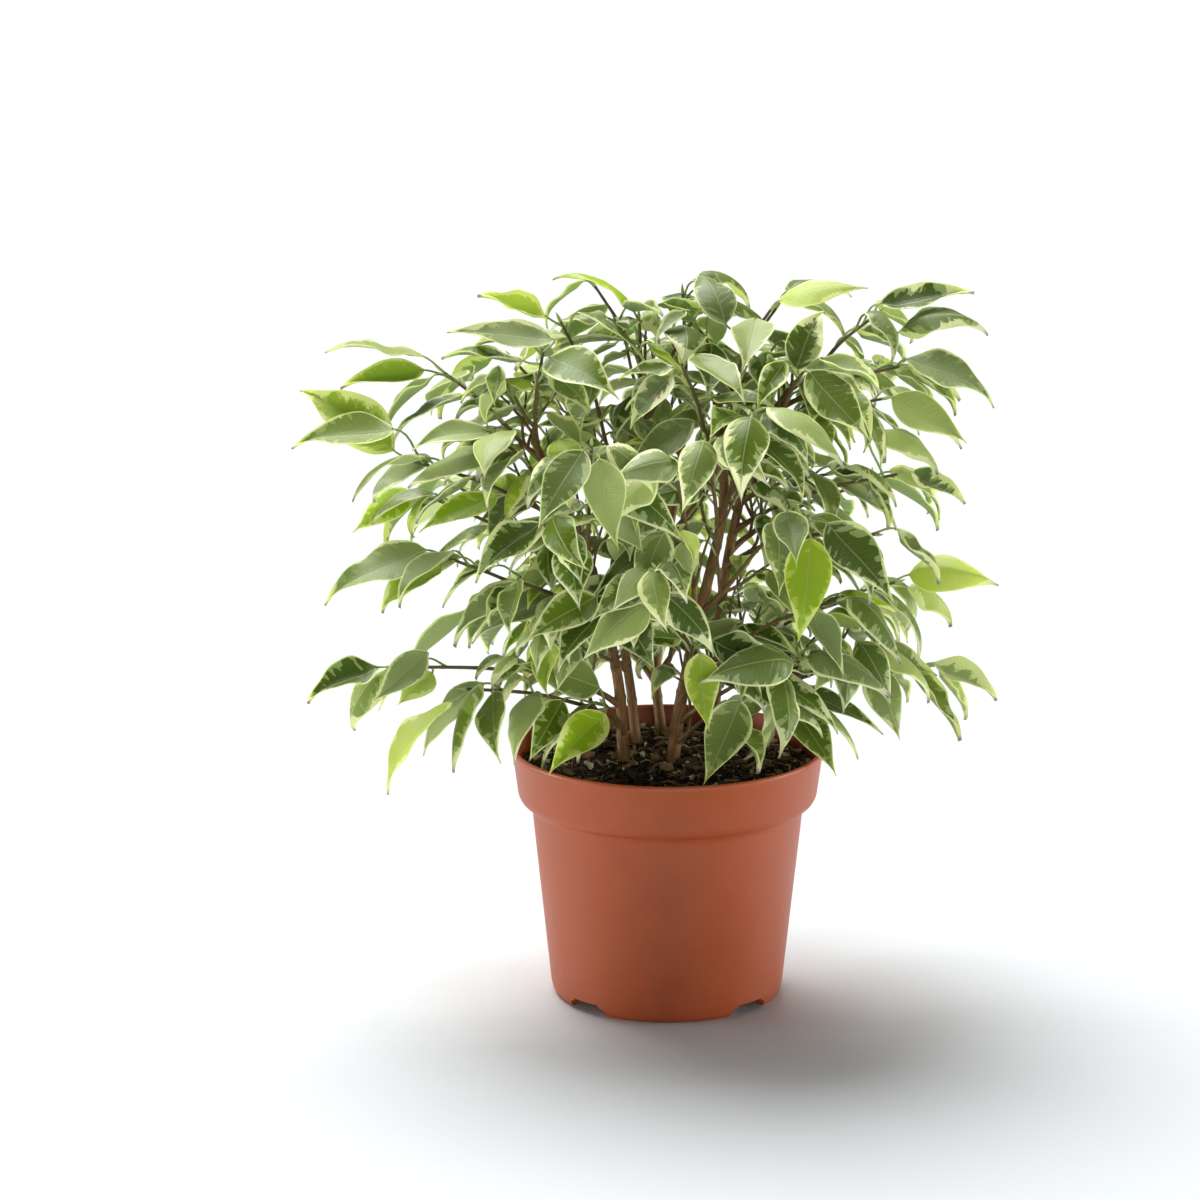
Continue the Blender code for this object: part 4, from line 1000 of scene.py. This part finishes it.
def turned_mesh(name, profile, sides, material):
    """A closed mesh turned about Z from a profile that starts and ends on the axis."""
    verts, faces, rings = [(0, 0, profile[0][1])], [], []
    for radius, height in profile[1:-1]:
        rings.append(range(len(verts), len(verts) + sides))
        for a in range(sides):
            turn = math.tau * a / sides
            verts.append((radius * math.cos(turn), radius * math.sin(turn), height))
    verts.append((0, 0, profile[-1][1]))
    for a in range(sides):
        b = (a + 1) % sides
        faces.append((0, rings[0][a], rings[0][b]))
        faces.append((len(verts) - 1, rings[-1][b], rings[-1][a]))
        for near, far in zip(rings, rings[1:]):
            faces.append((near[a], far[a], far[b], near[b]))
    mesh = bpy.data.meshes.new(name)
    mesh.from_pydata(verts, [], faces)
    mesh.materials.append(material)
    return mesh


def add_cutter(name, edit, place, turn, cutters):
    """One thing to cut away, moved out from the axis and turned to its place round it."""
    bmesh.ops.translate(edit, verts=edit.verts, vec=place)
    bmesh.ops.rotate(edit, verts=edit.verts, matrix=Matrix.Rotation(turn, 3, "Z"))
    mesh = bpy.data.meshes.new(name)
    edit.to_mesh(mesh)
    edit.free()
    cutters.objects.link(bpy.data.objects.new(name, mesh))


def add_foot_cutters(cutters):
    """Blocks for the sloping notches of the foot and rods for the drains, as in the solids."""
    for k in range(NOTCH_COUNT):
        edit = bmesh.new()
        bmesh.ops.create_cube(edit, size=1)
        for vert in edit.verts:
            width = NOTCH_TOP_WIDTH if vert.co.z > 0 else NOTCH_WIDTH
            height = NOTCH_HEIGHT if vert.co.z > 0 else -NOTCH_HEIGHT * 0.2
            vert.co = Vector((vert.co.x * 13 * MM, vert.co.y * width, height))
        upper = [edge for edge in edit.edges if edge.verts[0].co.z > 0 and edge.verts[1].co.z > 0
                 and abs(edge.verts[0].co.y - edge.verts[1].co.y) < MM]
        bmesh.ops.bevel(edit, geom=upper, offset=1.4 * MM, segments=4, affect="EDGES")
        turn = math.tau * (k + 0.5) / NOTCH_COUNT
        add_cutter(f"notch_{k}", edit, (FOOT_RADIUS + 0.4 * MM, 0, 0), turn, cutters)
    for k in range(DRAIN_COUNT):
        edit = bmesh.new()
        bmesh.ops.create_cone(edit, cap_ends=True, segments=24, radius1=DRAIN_RADIUS, radius2=DRAIN_RADIUS,
                              depth=6 * MM)
        turn = math.tau * (k / DRAIN_COUNT + 0.5 / POT_SIDES)
        add_cutter(f"drain_{k}", edit, (DRAIN_RING_RADIUS, 0, CHANNEL_HEIGHT + WALL / 2), turn, cutters)


def make_pot(plastic):
    """The moulded pot: the solid's profile with rounded corners and a beaded lip, and its foot cut."""
    lip = POT_HEIGHT - RIM_LIP
    shoulder = POT_HEIGHT - COLLAR_HEIGHT
    inside = pot_inside(0) + [(LIP_INSIDE_RADIUS, lip - 0.6 * MM)]
    # The bead's corners, in mm inwards from the rim and down from its top
    corners = ((1.8, 0.5), (1.17, 0.1), (0.65, 0), (0.2, 0.3), (0, 0.9), (0.05, 2.1), (0.5, 2.7))
    bead = [(RIM_RADIUS - inward * MM, POT_HEIGHT - down * MM) for inward, down in corners]
    outside = [
        (COLLAR_FOOT_RADIUS, shoulder + 1.4 * MM),
        (COLLAR_FOOT_RADIUS - 1.2 * MM, shoulder - 0.9 * MM),
        (BODY_TOP_RADIUS + 1.2 * MM, shoulder - SHOULDER_DROP + 0.9 * MM),
        (BODY_TOP_RADIUS, shoulder - SHOULDER_DROP - 1.2 * MM),
        (BODY_FOOT_RADIUS, FOOT_ROUNDING + 1.4 * MM),
        (FOOT_RADIUS + FOOT_ROUNDING * 0.62, FOOT_ROUNDING * 0.5),
        (FOOT_RADIUS + 0.6 * MM, 0),
        (CHANNEL_OUTER_RADIUS + 1.0 * MM, 0),
        (CHANNEL_OUTER_RADIUS, CHANNEL_HEIGHT),
        (CHANNEL_INNER_RADIUS + 1.8 * MM, CHANNEL_HEIGHT),
        (CHANNEL_INNER_RADIUS, 0),
        (0, 0),
    ]
    profile = filleted(inside + bead[:1], 1.2 * MM)[:-1] + bead[:-1]
    profile += filleted(bead[-1:] + outside, 1.0 * MM)
    pot = scene_object("moulded_pot", turned_mesh("moulded_pot", profile, FINE_POT_SIDES, plastic))
    cutters = bpy.data.collections.new("foot_cutters")
    bpy.context.scene.collection.children.link(cutters)
    add_foot_cutters(cutters)
    cut = pot.modifiers.new("cut", "BOOLEAN")
    cut.operation, cut.operand_type, cut.solver = "DIFFERENCE", "COLLECTION", "EXACT"
    cut.collection = cutters
    bpy.context.view_layer.update()
    whole = pot.evaluated_get(bpy.context.evaluated_depsgraph_get())
    mesh = bpy.data.meshes.new_from_object(whole)
    pot.modifiers.clear()
    pot.data = mesh
    for made in list(cutters.objects):
        bpy.data.objects.remove(made)
    bpy.data.collections.remove(cutters)
    mesh.shade_smooth()
    mesh.set_sharp_from_angle(angle=math.radians(38))
    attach(pot, "root")
    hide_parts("pot")


def soil_height(x, y):
    """The soil's surface: a mound to the middle, broken up by lumps of about 15, 5 and 2 mm."""
    share = math.hypot(x, y) / SOIL_EDGE_RADIUS
    mean = SOIL_CROWN_HEIGHT + (SOIL_EDGE_HEIGHT - SOIL_CROWN_HEIGHT) * share**2
    place = Vector((x, y, 0))
    lumps = sum(noise.noise(place / (wide * MM)) * high * MM
                for wide, high in ((15, 1.5), (5, 1.5), (2, 0.7)))
    return mean + lumps * min(1, (1 - share) * 8)


def make_soil(peat):
    """The soil's body: a fine crumbled top over the pot's plain inside."""
    top = [(SOIL_EDGE_RADIUS * k / SOIL_RINGS, SOIL_CROWN_HEIGHT) for k in range(SOIL_RINGS + 1)]
    mesh = turned_mesh("soil_mound", pot_inside(GAP) + top[::-1], SOIL_SECTORS, peat)
    for vert in mesh.vertices:
        if vert.co.z > SOIL_CROWN_HEIGHT - 0.01 * MM:
            vert.co.z = soil_height(vert.co.x, vert.co.y)
    mesh.shade_smooth()
    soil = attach(scene_object("soil_mound", mesh), "root")
    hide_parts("soil")


def add_lump(gathered, centre, size, looks, kind):
    """One rough scrap of bark, peat or grit: two ragged rings, turned any way up."""
    turn = Matrix.Rotation(looks.uniform(0, math.tau), 3, "Z")
    turn = turn @ Matrix.Rotation(looks.gauss(0, 0.5), 3, "X")
    rings = []
    for level, shrink in ((-0.5, 0.8), (0.5, 1.0)):
        ring = []
        for a in range(6):
            angle = math.tau * a / 6 + looks.uniform(-0.35, 0.35)
            reach = shrink * looks.uniform(0.65, 1.1)
            corner = Vector((math.cos(angle) * size[0] / 2 * reach, math.sin(angle) * size[1] / 2 * reach,
                             size[2] * (level + looks.uniform(-0.2, 0.2))))
            ring.append(gathered.add(centre + turn @ corner, tuple(corner / MM), kind))
        rings.append(ring)
    low, high = rings
    for a in range(6):
        b = (a + 1) % 6
        gathered.cover((low[a], low[b], high[b], high[a]))
    gathered.cover(low[::-1])
    gathered.cover(high)


def soil_spot(looks, reach=0.97):
    """A random place on the soil, evenly over its area."""
    radius, turn = SOIL_EDGE_RADIUS * reach * math.sqrt(looks.random()), looks.uniform(0, math.tau)
    return radius * math.cos(turn), radius * math.sin(turn)


def scatter(name, count, longest, flatness, narrow, lift, material, looks):
    """Scraps strewn over the soil, each sunk partly in."""
    gathered = Gathered()
    for _ in range(count):
        length = looks.uniform(*longest) * MM
        size = (length, length * looks.uniform(*narrow), length * looks.uniform(*flatness))
        x, y = soil_spot(looks)
        centre = Vector((x, y, soil_height(x, y) + size[2] * lift))
        kind = (looks.random(), looks.random(), looks.random())
        add_lump(gathered, centre, size, looks, kind)
    gathered.piece(name, [material], sharp_above=25)


def strew_fibres(fibre, looks):
    """Root hairs and peat fibres that wander over the soil."""
    gathered = Gathered()
    for _ in range(FIBRE_COUNT):
        x, y = soil_spot(looks, 0.9)
        heading, bend = looks.uniform(0, math.tau), looks.gauss(0, 0.16)
        radius = looks.uniform(0.14, 0.45) * MM
        rise = looks.uniform(0.2, 1.6) * MM
        points = []
        for k in range(looks.randint(7, 20)):
            if math.hypot(x, y) / SOIL_EDGE_RADIUS > 0.97:
                break
            hump = math.sin(k * 0.5) ** 2
            points.append(Vector((x, y, soil_height(x, y) + radius * 1.5 + rise * hump)))
            heading += bend + looks.gauss(0, 0.12)
            x, y = x + 1.3 * MM * math.cos(heading), y + 1.3 * MM * math.sin(heading)
        if len(points) > 4:
            kind = (looks.random(), looks.random(), looks.random())
            radii = [radius * (1 - 0.6 * abs(2 * k / (len(points) - 1) - 1)) for k in range(len(points))]
            add_tube(gathered, points, radii, 5, 0, kind)
    gathered.piece("soil_fibres", [fibre])


def linear(colour):
    """A hex sRGB colour as linear red, green, blue and alpha."""
    parts = [int(colour[k:k + 2], 16) / 255 for k in (1, 3, 5)]
    return (*[p / 12.92 if p <= 0.04045 else ((p + 0.055) / 1.055) ** 2.4 for p in parts], 1.0)


def fill(tree, socket, value):
    """Sets a socket to a number, vector or hex colour, or links it to a socket or a node's first output."""
    if isinstance(value, bpy.types.Node):
        value = next(output for output in value.outputs if output.enabled)
    if isinstance(value, bpy.types.NodeSocket):
        tree.links.new(value, socket)
    else:
        socket.default_value = linear(value) if isinstance(value, str) else value


def node(tree, kind, *inputs, **named):
    """Adds a node. Plain values fill its sockets in order; names with a capital are sockets too, with _ for
    a space, and the other names are its properties."""
    made = tree.nodes.new("ShaderNode" + kind)
    for name, value in named.items():
        if name[0].islower():
            setattr(made, name, value)
    sockets = [socket for socket in made.inputs if socket.enabled]
    for socket, value in zip(sockets, inputs):
        fill(tree, socket, value)
    for name, value in named.items():
        if name[0].isupper():
            fill(tree, made.inputs[name.replace("_", " ")], value)
    return made


def new_material(name):
    """A material, and the function that adds a node to it."""
    made = bpy.data.materials.new(name)
    made.use_nodes = True
    return made, functools.partial(node, made.node_tree)


def finished(made, **sockets):
    """The material, with its Principled shader's sockets set or linked."""
    for name, value in sockets.items():
        fill(made.node_tree, made.node_tree.nodes["Principled BSDF"].inputs[name.replace("_", " ")], value)
    return made


# A pattern's scale is how often it repeats in a millimetre. The attributes are in millimetres, and the
# object's coordinates in metres, hence / MM there.

# Settings of a colour mix, of sums and products, of a ramp with soft ends and of noise in a plane
MIX = {"data_type": "RGBA"}
TIMES_PLUS, TIMES, MINUS = ({"operation": name} for name in ("MULTIPLY_ADD", "MULTIPLY", "SUBTRACT"))
SOFT = {"interpolation_type": "SMOOTHSTEP"}
FLAT = {"noise_dimensions": "2D"}


def ficus_leaf_material():
    """A weeping fig's blade: a waxed deep green field, grey-green blotches, and a cream margin that breaks
    inwards along the side veins. Thin tissue, so light from behind shows through it yellow-green; on backlit
    leaves that glow is also painted into the colour, and some leaves carry a painted pale sheen all over."""
    made, add = new_material("ficus_leaf")
    place = add("SeparateXYZ", add("Attribute", attribute_name="place").outputs["Vector"])
    kind = add("SeparateXYZ", add("Attribute", attribute_name="kind").outputs["Vector"])
    below = add("Attribute", attribute_name="below").outputs["Fac"]
    # The painted sheen: how far the whole leaf is painted pale grey-green
    painted_sheen = add("Attribute", attribute_name="pale").outputs["Fac"]
    along, across, half = place.outputs
    tone, cream, seed = kind.outputs
    out = add("Math", across, operation="ABSOLUTE")
    hand = add("Math", across, operation="SIGN")
    to_edge = add("Math", half, out, **MINUS)
    # Side veins leave the midrib at about 60 degrees, so along - 0.55 across stays the same on each.
    vein = add("Math", out, -0.55, along, **TIMES_PLUS)
    shift = add("Math", seed, 90.0, hand, **TIMES_PLUS)

    # Tongues of the margin are about 2.5 mm wide; its broad patches are about 12 mm long.
    lane = add("Math", shift, 7.0, add("Math", to_edge, 0.5, **TIMES), **TIMES_PLUS)
    teeth_at = add("CombineXYZ", vein, lane)
    teeth = add("TexNoise", teeth_at, Scale=0.3, Detail=4.0, Roughness=0.72, **FLAT)
    teeth = add("MapRange", teeth, 0.38, 0.7)
    patch = add("TexNoise", teeth_at, Scale=0.085, Detail=0.0, **FLAT)
    patch = add("MapRange", patch, 0.43, 0.68, **SOFT)
    reach = add("Math", add("Math", cream, 6.0, 0.25, **TIMES_PLUS), patch, **TIMES)
    teeth_deep = add("Math", teeth, 0.7, 0.3, **TIMES_PLUS)
    margin = add("Math", reach, teeth_deep, 0.36, **TIMES_PLUS)
    beyond = add("Math", to_edge, margin, **MINUS)
    is_cream = add("MapRange", beyond, 0.24, -0.16, **SOFT)

    # The half-green zone inside the margin, where only some layers of the blade are green, and the painted
    # sheen that turns some whole leaves pale grey-green
    blotch = add("TexNoise", teeth_at, Scale=0.33, Detail=2.0, **FLAT)
    zone = add("Math", beyond, add("MapRange", blotch, 0.4, 0.78, -0.6, 4.6), **MINUS)
    grey_zone_and_sheen = add("MapRange", zone, 0.3, -0.3, 0.0, 0.8)
    grey_zone_and_sheen = add("Math", grey_zone_and_sheen, painted_sheen, operation="MAXIMUM")

    # Tone runs from deep green to bright yellow-green: the bright end is a painted glow of light through
    # backlit leaves, and the dark end of inner leaves is partly painted shade.
    deep = add("Mix", tone, "#3b5211", "#a2c01a", **MIX)
    # The pale grey-green of the half-green zone, also the colour of the painted sheen
    pale = add("Mix", tone, "#aab880", "#ccd95c", **MIX)
    green = add("Mix", grey_zone_and_sheen, deep, pale, **MIX)

    # Side veins every 2.6 mm and the midrib stand out a little paler.
    saw = add("Math", vein, 1.3, operation="PINGPONG")
    line = add("MapRange", saw, 0.0, 0.26, 1.0, 0.0, **SOFT)
    line = add("Math", line, add("MapRange", to_edge, 0.3, 3.0), **TIMES)
    rib = add("MapRange", out, 0.12, 0.36, 1.0, 0.0, **SOFT)
    green = add("Mix", add("Math", line, 0.1, **TIMES), green, "#b2c17c", **MIX)
    green = add("Mix", below, green, add("Mix", 0.45, green, "#b0bd8c", **MIX), **MIX)
    cream_colour = add("Mix", tone, "#e2e6b4", "#e4eb90", **MIX)
    colour = add("Mix", is_cream, green, cream_colour, **MIX)
    colour = add("Mix", add("Math", rib, 0.5, **TIMES), colour, "#b9c98a", **MIX)

    # The wax is duller below; cells of about 0.4 mm break up its gloss.
    cells = add("TexNoise", add("TexCoord").outputs["Object"], Scale=2.4 / MM, Detail=1.0)
    wax = add("MapRange", cells, 0.3, 0.7, 0.32, 0.42)
    relief = add("Math", line, -0.6, cells, **TIMES_PLUS)
    relief = add("Math", rib, -1.5, relief, **TIMES_PLUS)
    return finished(made, IOR=1.42, Specular_IOR_Level=0.4, Subsurface_Weight=0.72,
                    Subsurface_Scale=0.0006, Subsurface_Radius=(0.75, 1.0, 0.2), Base_Color=colour,
                    Roughness=add("Math", below, 0.18, wax, **TIMES_PLUS),
                    Normal=add("Bump", Height=relief, Strength=0.7, Distance=0.00014))


def ficus_stalk_material():
    """Petioles and buds: smooth pale green skin, creamier on the paler leaves."""
    made, add = new_material("ficus_stalk")
    kind = add("SeparateXYZ", add("Attribute", attribute_name="kind").outputs["Vector"])
    place = add("Attribute", attribute_name="place").outputs["Vector"]
    green = add("Mix", add("TexNoise", place, Scale=0.8), "#66803c", "#93a85a", **MIX)
    colour = add("Mix", kind.outputs["Y"], green, "#cdd695", **MIX)
    return finished(made, IOR=1.45, Roughness=0.42, Subsurface_Weight=0.4, Subsurface_Scale=0.0004,
                    Subsurface_Radius=(0.7, 1.0, 0.25), Base_Color=colour)


def ficus_bark_material():
    """Young fig bark: thin brown cork, finely cracked lengthways, with pale breathing pores. Twigs are darker
    and turn olive towards their ends."""
    made, add = new_material("ficus_bark")
    place = add("Attribute", attribute_name="place").outputs["Vector"]
    kind = add("SeparateXYZ", add("Attribute", attribute_name="kind").outputs["Vector"])
    apart = add("VectorMath", kind.outputs["Z"], (90.0, 70.0, 50.0), **TIMES)
    # Cracks are some 0.5 mm apart round the wood and 5 mm long.
    stretched = add("VectorMath", place, (0.2, 2.0, 2.0), apart, **TIMES_PLUS)
    cracks = add("TexNoise", stretched, Scale=0.8, Detail=4.0, Roughness=0.65)
    broad = add("TexNoise", stretched, Scale=0.22, Detail=2.0)
    bark = add("Mix", add("MapRange", cracks, 0.34, 0.66), "#61421f", "#8c6638", **MIX)
    bark = add("Mix", add("MapRange", broad, 0.4, 0.72, 0.0, 0.5), bark, "#a07848", **MIX)
    pores = add("TexVoronoi", add("VectorMath", place, apart), Scale=0.5)
    bark = add("Mix", add("MapRange", pores, 0.1, 0.17, 0.7, 0.0), bark, "#a58b68", **MIX)
    twig = add("Mix", cracks, "#2f2a1b", "#6b6a3c", **MIX)
    return finished(made, IOR=1.5, Base_Color=add("Mix", kind.outputs["X"], bark, twig, **MIX),
                    Roughness=add("MapRange", cracks, 0.3, 0.7, 0.82, 0.58),
                    Normal=add("Bump", Height=cracks, Strength=0.6, Distance=0.0002))


def polypropylene_material():
    """Injection-moulded terracotta polypropylene: a soft satin skin with faint clouding of its pigment and
    long, shallow flow lines down the wall."""
    made, add = new_material("terracotta_polypropylene")
    place = add("TexCoord").outputs["Object"]
    cloud = add("TexNoise", place, Scale=0.045 / MM, Detail=4.0, Roughness=0.55)
    tall = add("VectorMath", place, (1.0, 1.0, 0.08), **TIMES)
    flow = add("TexNoise", tall, Scale=0.19 / MM, Detail=3.0)
    body = add("Mix", add("MapRange", cloud, 0.3, 0.7), "#a34920", "#aa4f24", **MIX)
    body = add("Mix", add("MapRange", flow, 0.4, 0.75, 0.0, 0.3), body, "#9d5126", **MIX)
    grain = add("TexNoise", place, Scale=2.2 / MM, Detail=2.0)
    fine = add("Bump", Height=grain, Strength=0.25, Distance=0.00006)
    return finished(made, IOR=1.49, Subsurface_Weight=0.12, Subsurface_Scale=0.0015,
                    Subsurface_Radius=(1.0, 0.4, 0.25), Base_Color=body,
                    Roughness=add("MapRange", cloud, 0.25, 0.75, 0.4, 0.52),
                    Normal=add("Bump", Height=flow, Strength=0.2, Distance=0.0002, Normal=fine))


def peat_material():
    """Moist peat: near black, with rust-brown crumbs of about 1.5 mm."""
    made, add = new_material("moist_peat")
    place = add("TexCoord").outputs["Object"]
    crumbs = add("TexVoronoi", place, Scale=0.65 / MM)
    tint = add("TexNoise", place, Scale=0.42 / MM, Detail=4.0, Roughness=0.7)
    height = add("Math", crumbs, -1.0, tint, **TIMES_PLUS)
    colour = add("Mix", add("MapRange", tint, 0.35, 0.72), "#120c08", "#44301f", **MIX)
    return finished(made, IOR=1.4, Roughness=0.88, Base_Color=colour,
                    Normal=add("Bump", Height=height, Strength=1.0, Distance=0.001))


def scrap_material(name, dark, light, roughness, grain_mm):
    """Loose bits in the soil. Each has its own shade between dark and light, with a fine grain along it."""
    made, add = new_material(name)
    kind = add("SeparateXYZ", add("Attribute", attribute_name="kind").outputs["Vector"])
    place = add("Attribute", attribute_name="place").outputs["Vector"]
    long = add("VectorMath", place, (0.3, 1.0, 1.0), **TIMES)
    grain = add("TexNoise", long, Scale=1 / grain_mm, Detail=3.0)
    shade = add("MapRange", add("Math", grain, kind.outputs["X"], **TIMES), 0.05, 0.55)
    return finished(made, IOR=1.45, Roughness=roughness,
                    Base_Color=add("Mix", shade, dark, light, **MIX),
                    Normal=add("Bump", Height=grain, Strength=0.7, Distance=0.0002))


def seamless_paper_material():
    """The studio's white paper sweep, matt."""
    made, add = new_material("white_paper")
    tint = add("TexNoise", add("TexCoord").outputs["Object"], Scale=0.003 / MM)
    return finished(made, Roughness=0.9, Specular_IOR_Level=0.2,
                    Base_Color=add("Mix", tint, "#dbdfe1", "#dee2e4", **MIX))


def place_camera():
    data = bpy.data.cameras.new("camera")
    data.lens, data.sensor_width, data.clip_end = CAMERA_LENS, SENSOR_WIDTH, 20
    camera = scene_object("camera", data)
    back = Vector((0, -math.cos(CAMERA_DROP), math.sin(CAMERA_DROP)))
    camera.location = CAMERA_AIM + back * CAMERA_DISTANCE
    camera.rotation_euler = (math.pi / 2 - CAMERA_DROP, 0, 0)
    bpy.context.scene.camera = camera


def add_lamp(name, kind, towards, place=(0, 0, 0), **settings):
    """A lamp at a place, turned towards a direction."""
    data = bpy.data.lights.new(name, kind)
    for label, value in settings.items():
        setattr(data, label, value)
    lamp = scene_object(name, data)
    lamp.location = place
    lamp.rotation_euler = towards.to_track_quat("-Z", "Y").to_euler()


def set_stage():
    """White floor, weak even surroundings, and the lights. The windows are far off, so that they light the
    whole floor alike; the front fill is a weak round softbox."""
    mesh = bpy.data.meshes.new("paper_floor")
    corners = [(x * FLOOR_HALF, y * FLOOR_HALF, 0) for x, y in ((-1, -1), (1, -1), (1, 1), (-1, 1))]
    mesh.from_pydata(corners, [], [(0, 1, 2, 3)])
    mesh.materials.append(seamless_paper_material())
    scene_object("paper_floor", mesh)
    world = bpy.data.worlds.new("studio")
    world.use_nodes = True
    background = world.node_tree.nodes["Background"]
    background.inputs["Color"].default_value = linear("#fbfcff")
    background.inputs["Strength"].default_value = WORLD_STRENGTH
    bpy.context.scene.world = world
    for name, (source, width, strength) in WINDOWS.items():
        add_lamp(name, "SUN", -Vector(source), energy=strength, angle=width)
    place, aim, size, watts = FRONT_LIGHT
    add_lamp("front_softbox", "AREA", Vector(aim) - Vector(place), place, shape="DISK", size=size,
             energy=watts)
    bpy.context.scene.view_settings.view_transform = "Standard"


place_camera()
set_stage()

rng = random.Random(SEED)
stems, sprays, thicket = grow_plant()
side_shoots = grow_young(sprays, thicket)
looks = random.Random(LOOKS_SEED)
for spray in sprays:
    for k, leaf in enumerate(spray.leaves[:spray.solid]):
        dress_leaf(leaf, k in SUNLIT.get(spray.name, ()), looks)
young = [leaf for shoot in sprays + side_shoots for leaf in shoot.leaves[shoot.solid:]]
for leaf in young:
    dress_leaf(leaf, looks.random() < SUNLIT_YOUNG, looks)
lay_blades([leaf for spray in sprays for leaf in spray.leaves[:spray.solid]] + young, thicket)

foliage = [ficus_leaf_material(), ficus_bark_material(), ficus_stalk_material()]
for name, (points, radius) in stems.items():
    make_stem(name, points, radius, sprays, [foliage[BARK]], looks)
for spray in sprays:
    make_spray(spray, foliage, looks)
for name in stems:
    make_young(name, sprays, side_shoots, foliage, looks)
make_pot(polypropylene_material())
make_soil(peat_material())
for name, (count, longest, flatness, narrow, lift, wear) in SCRAPS.items():
    scatter(name, count, longest, flatness, narrow, lift, scrap_material(*wear), looks)
strew_fibres(scrap_material(*FIBRE_WEAR), looks)
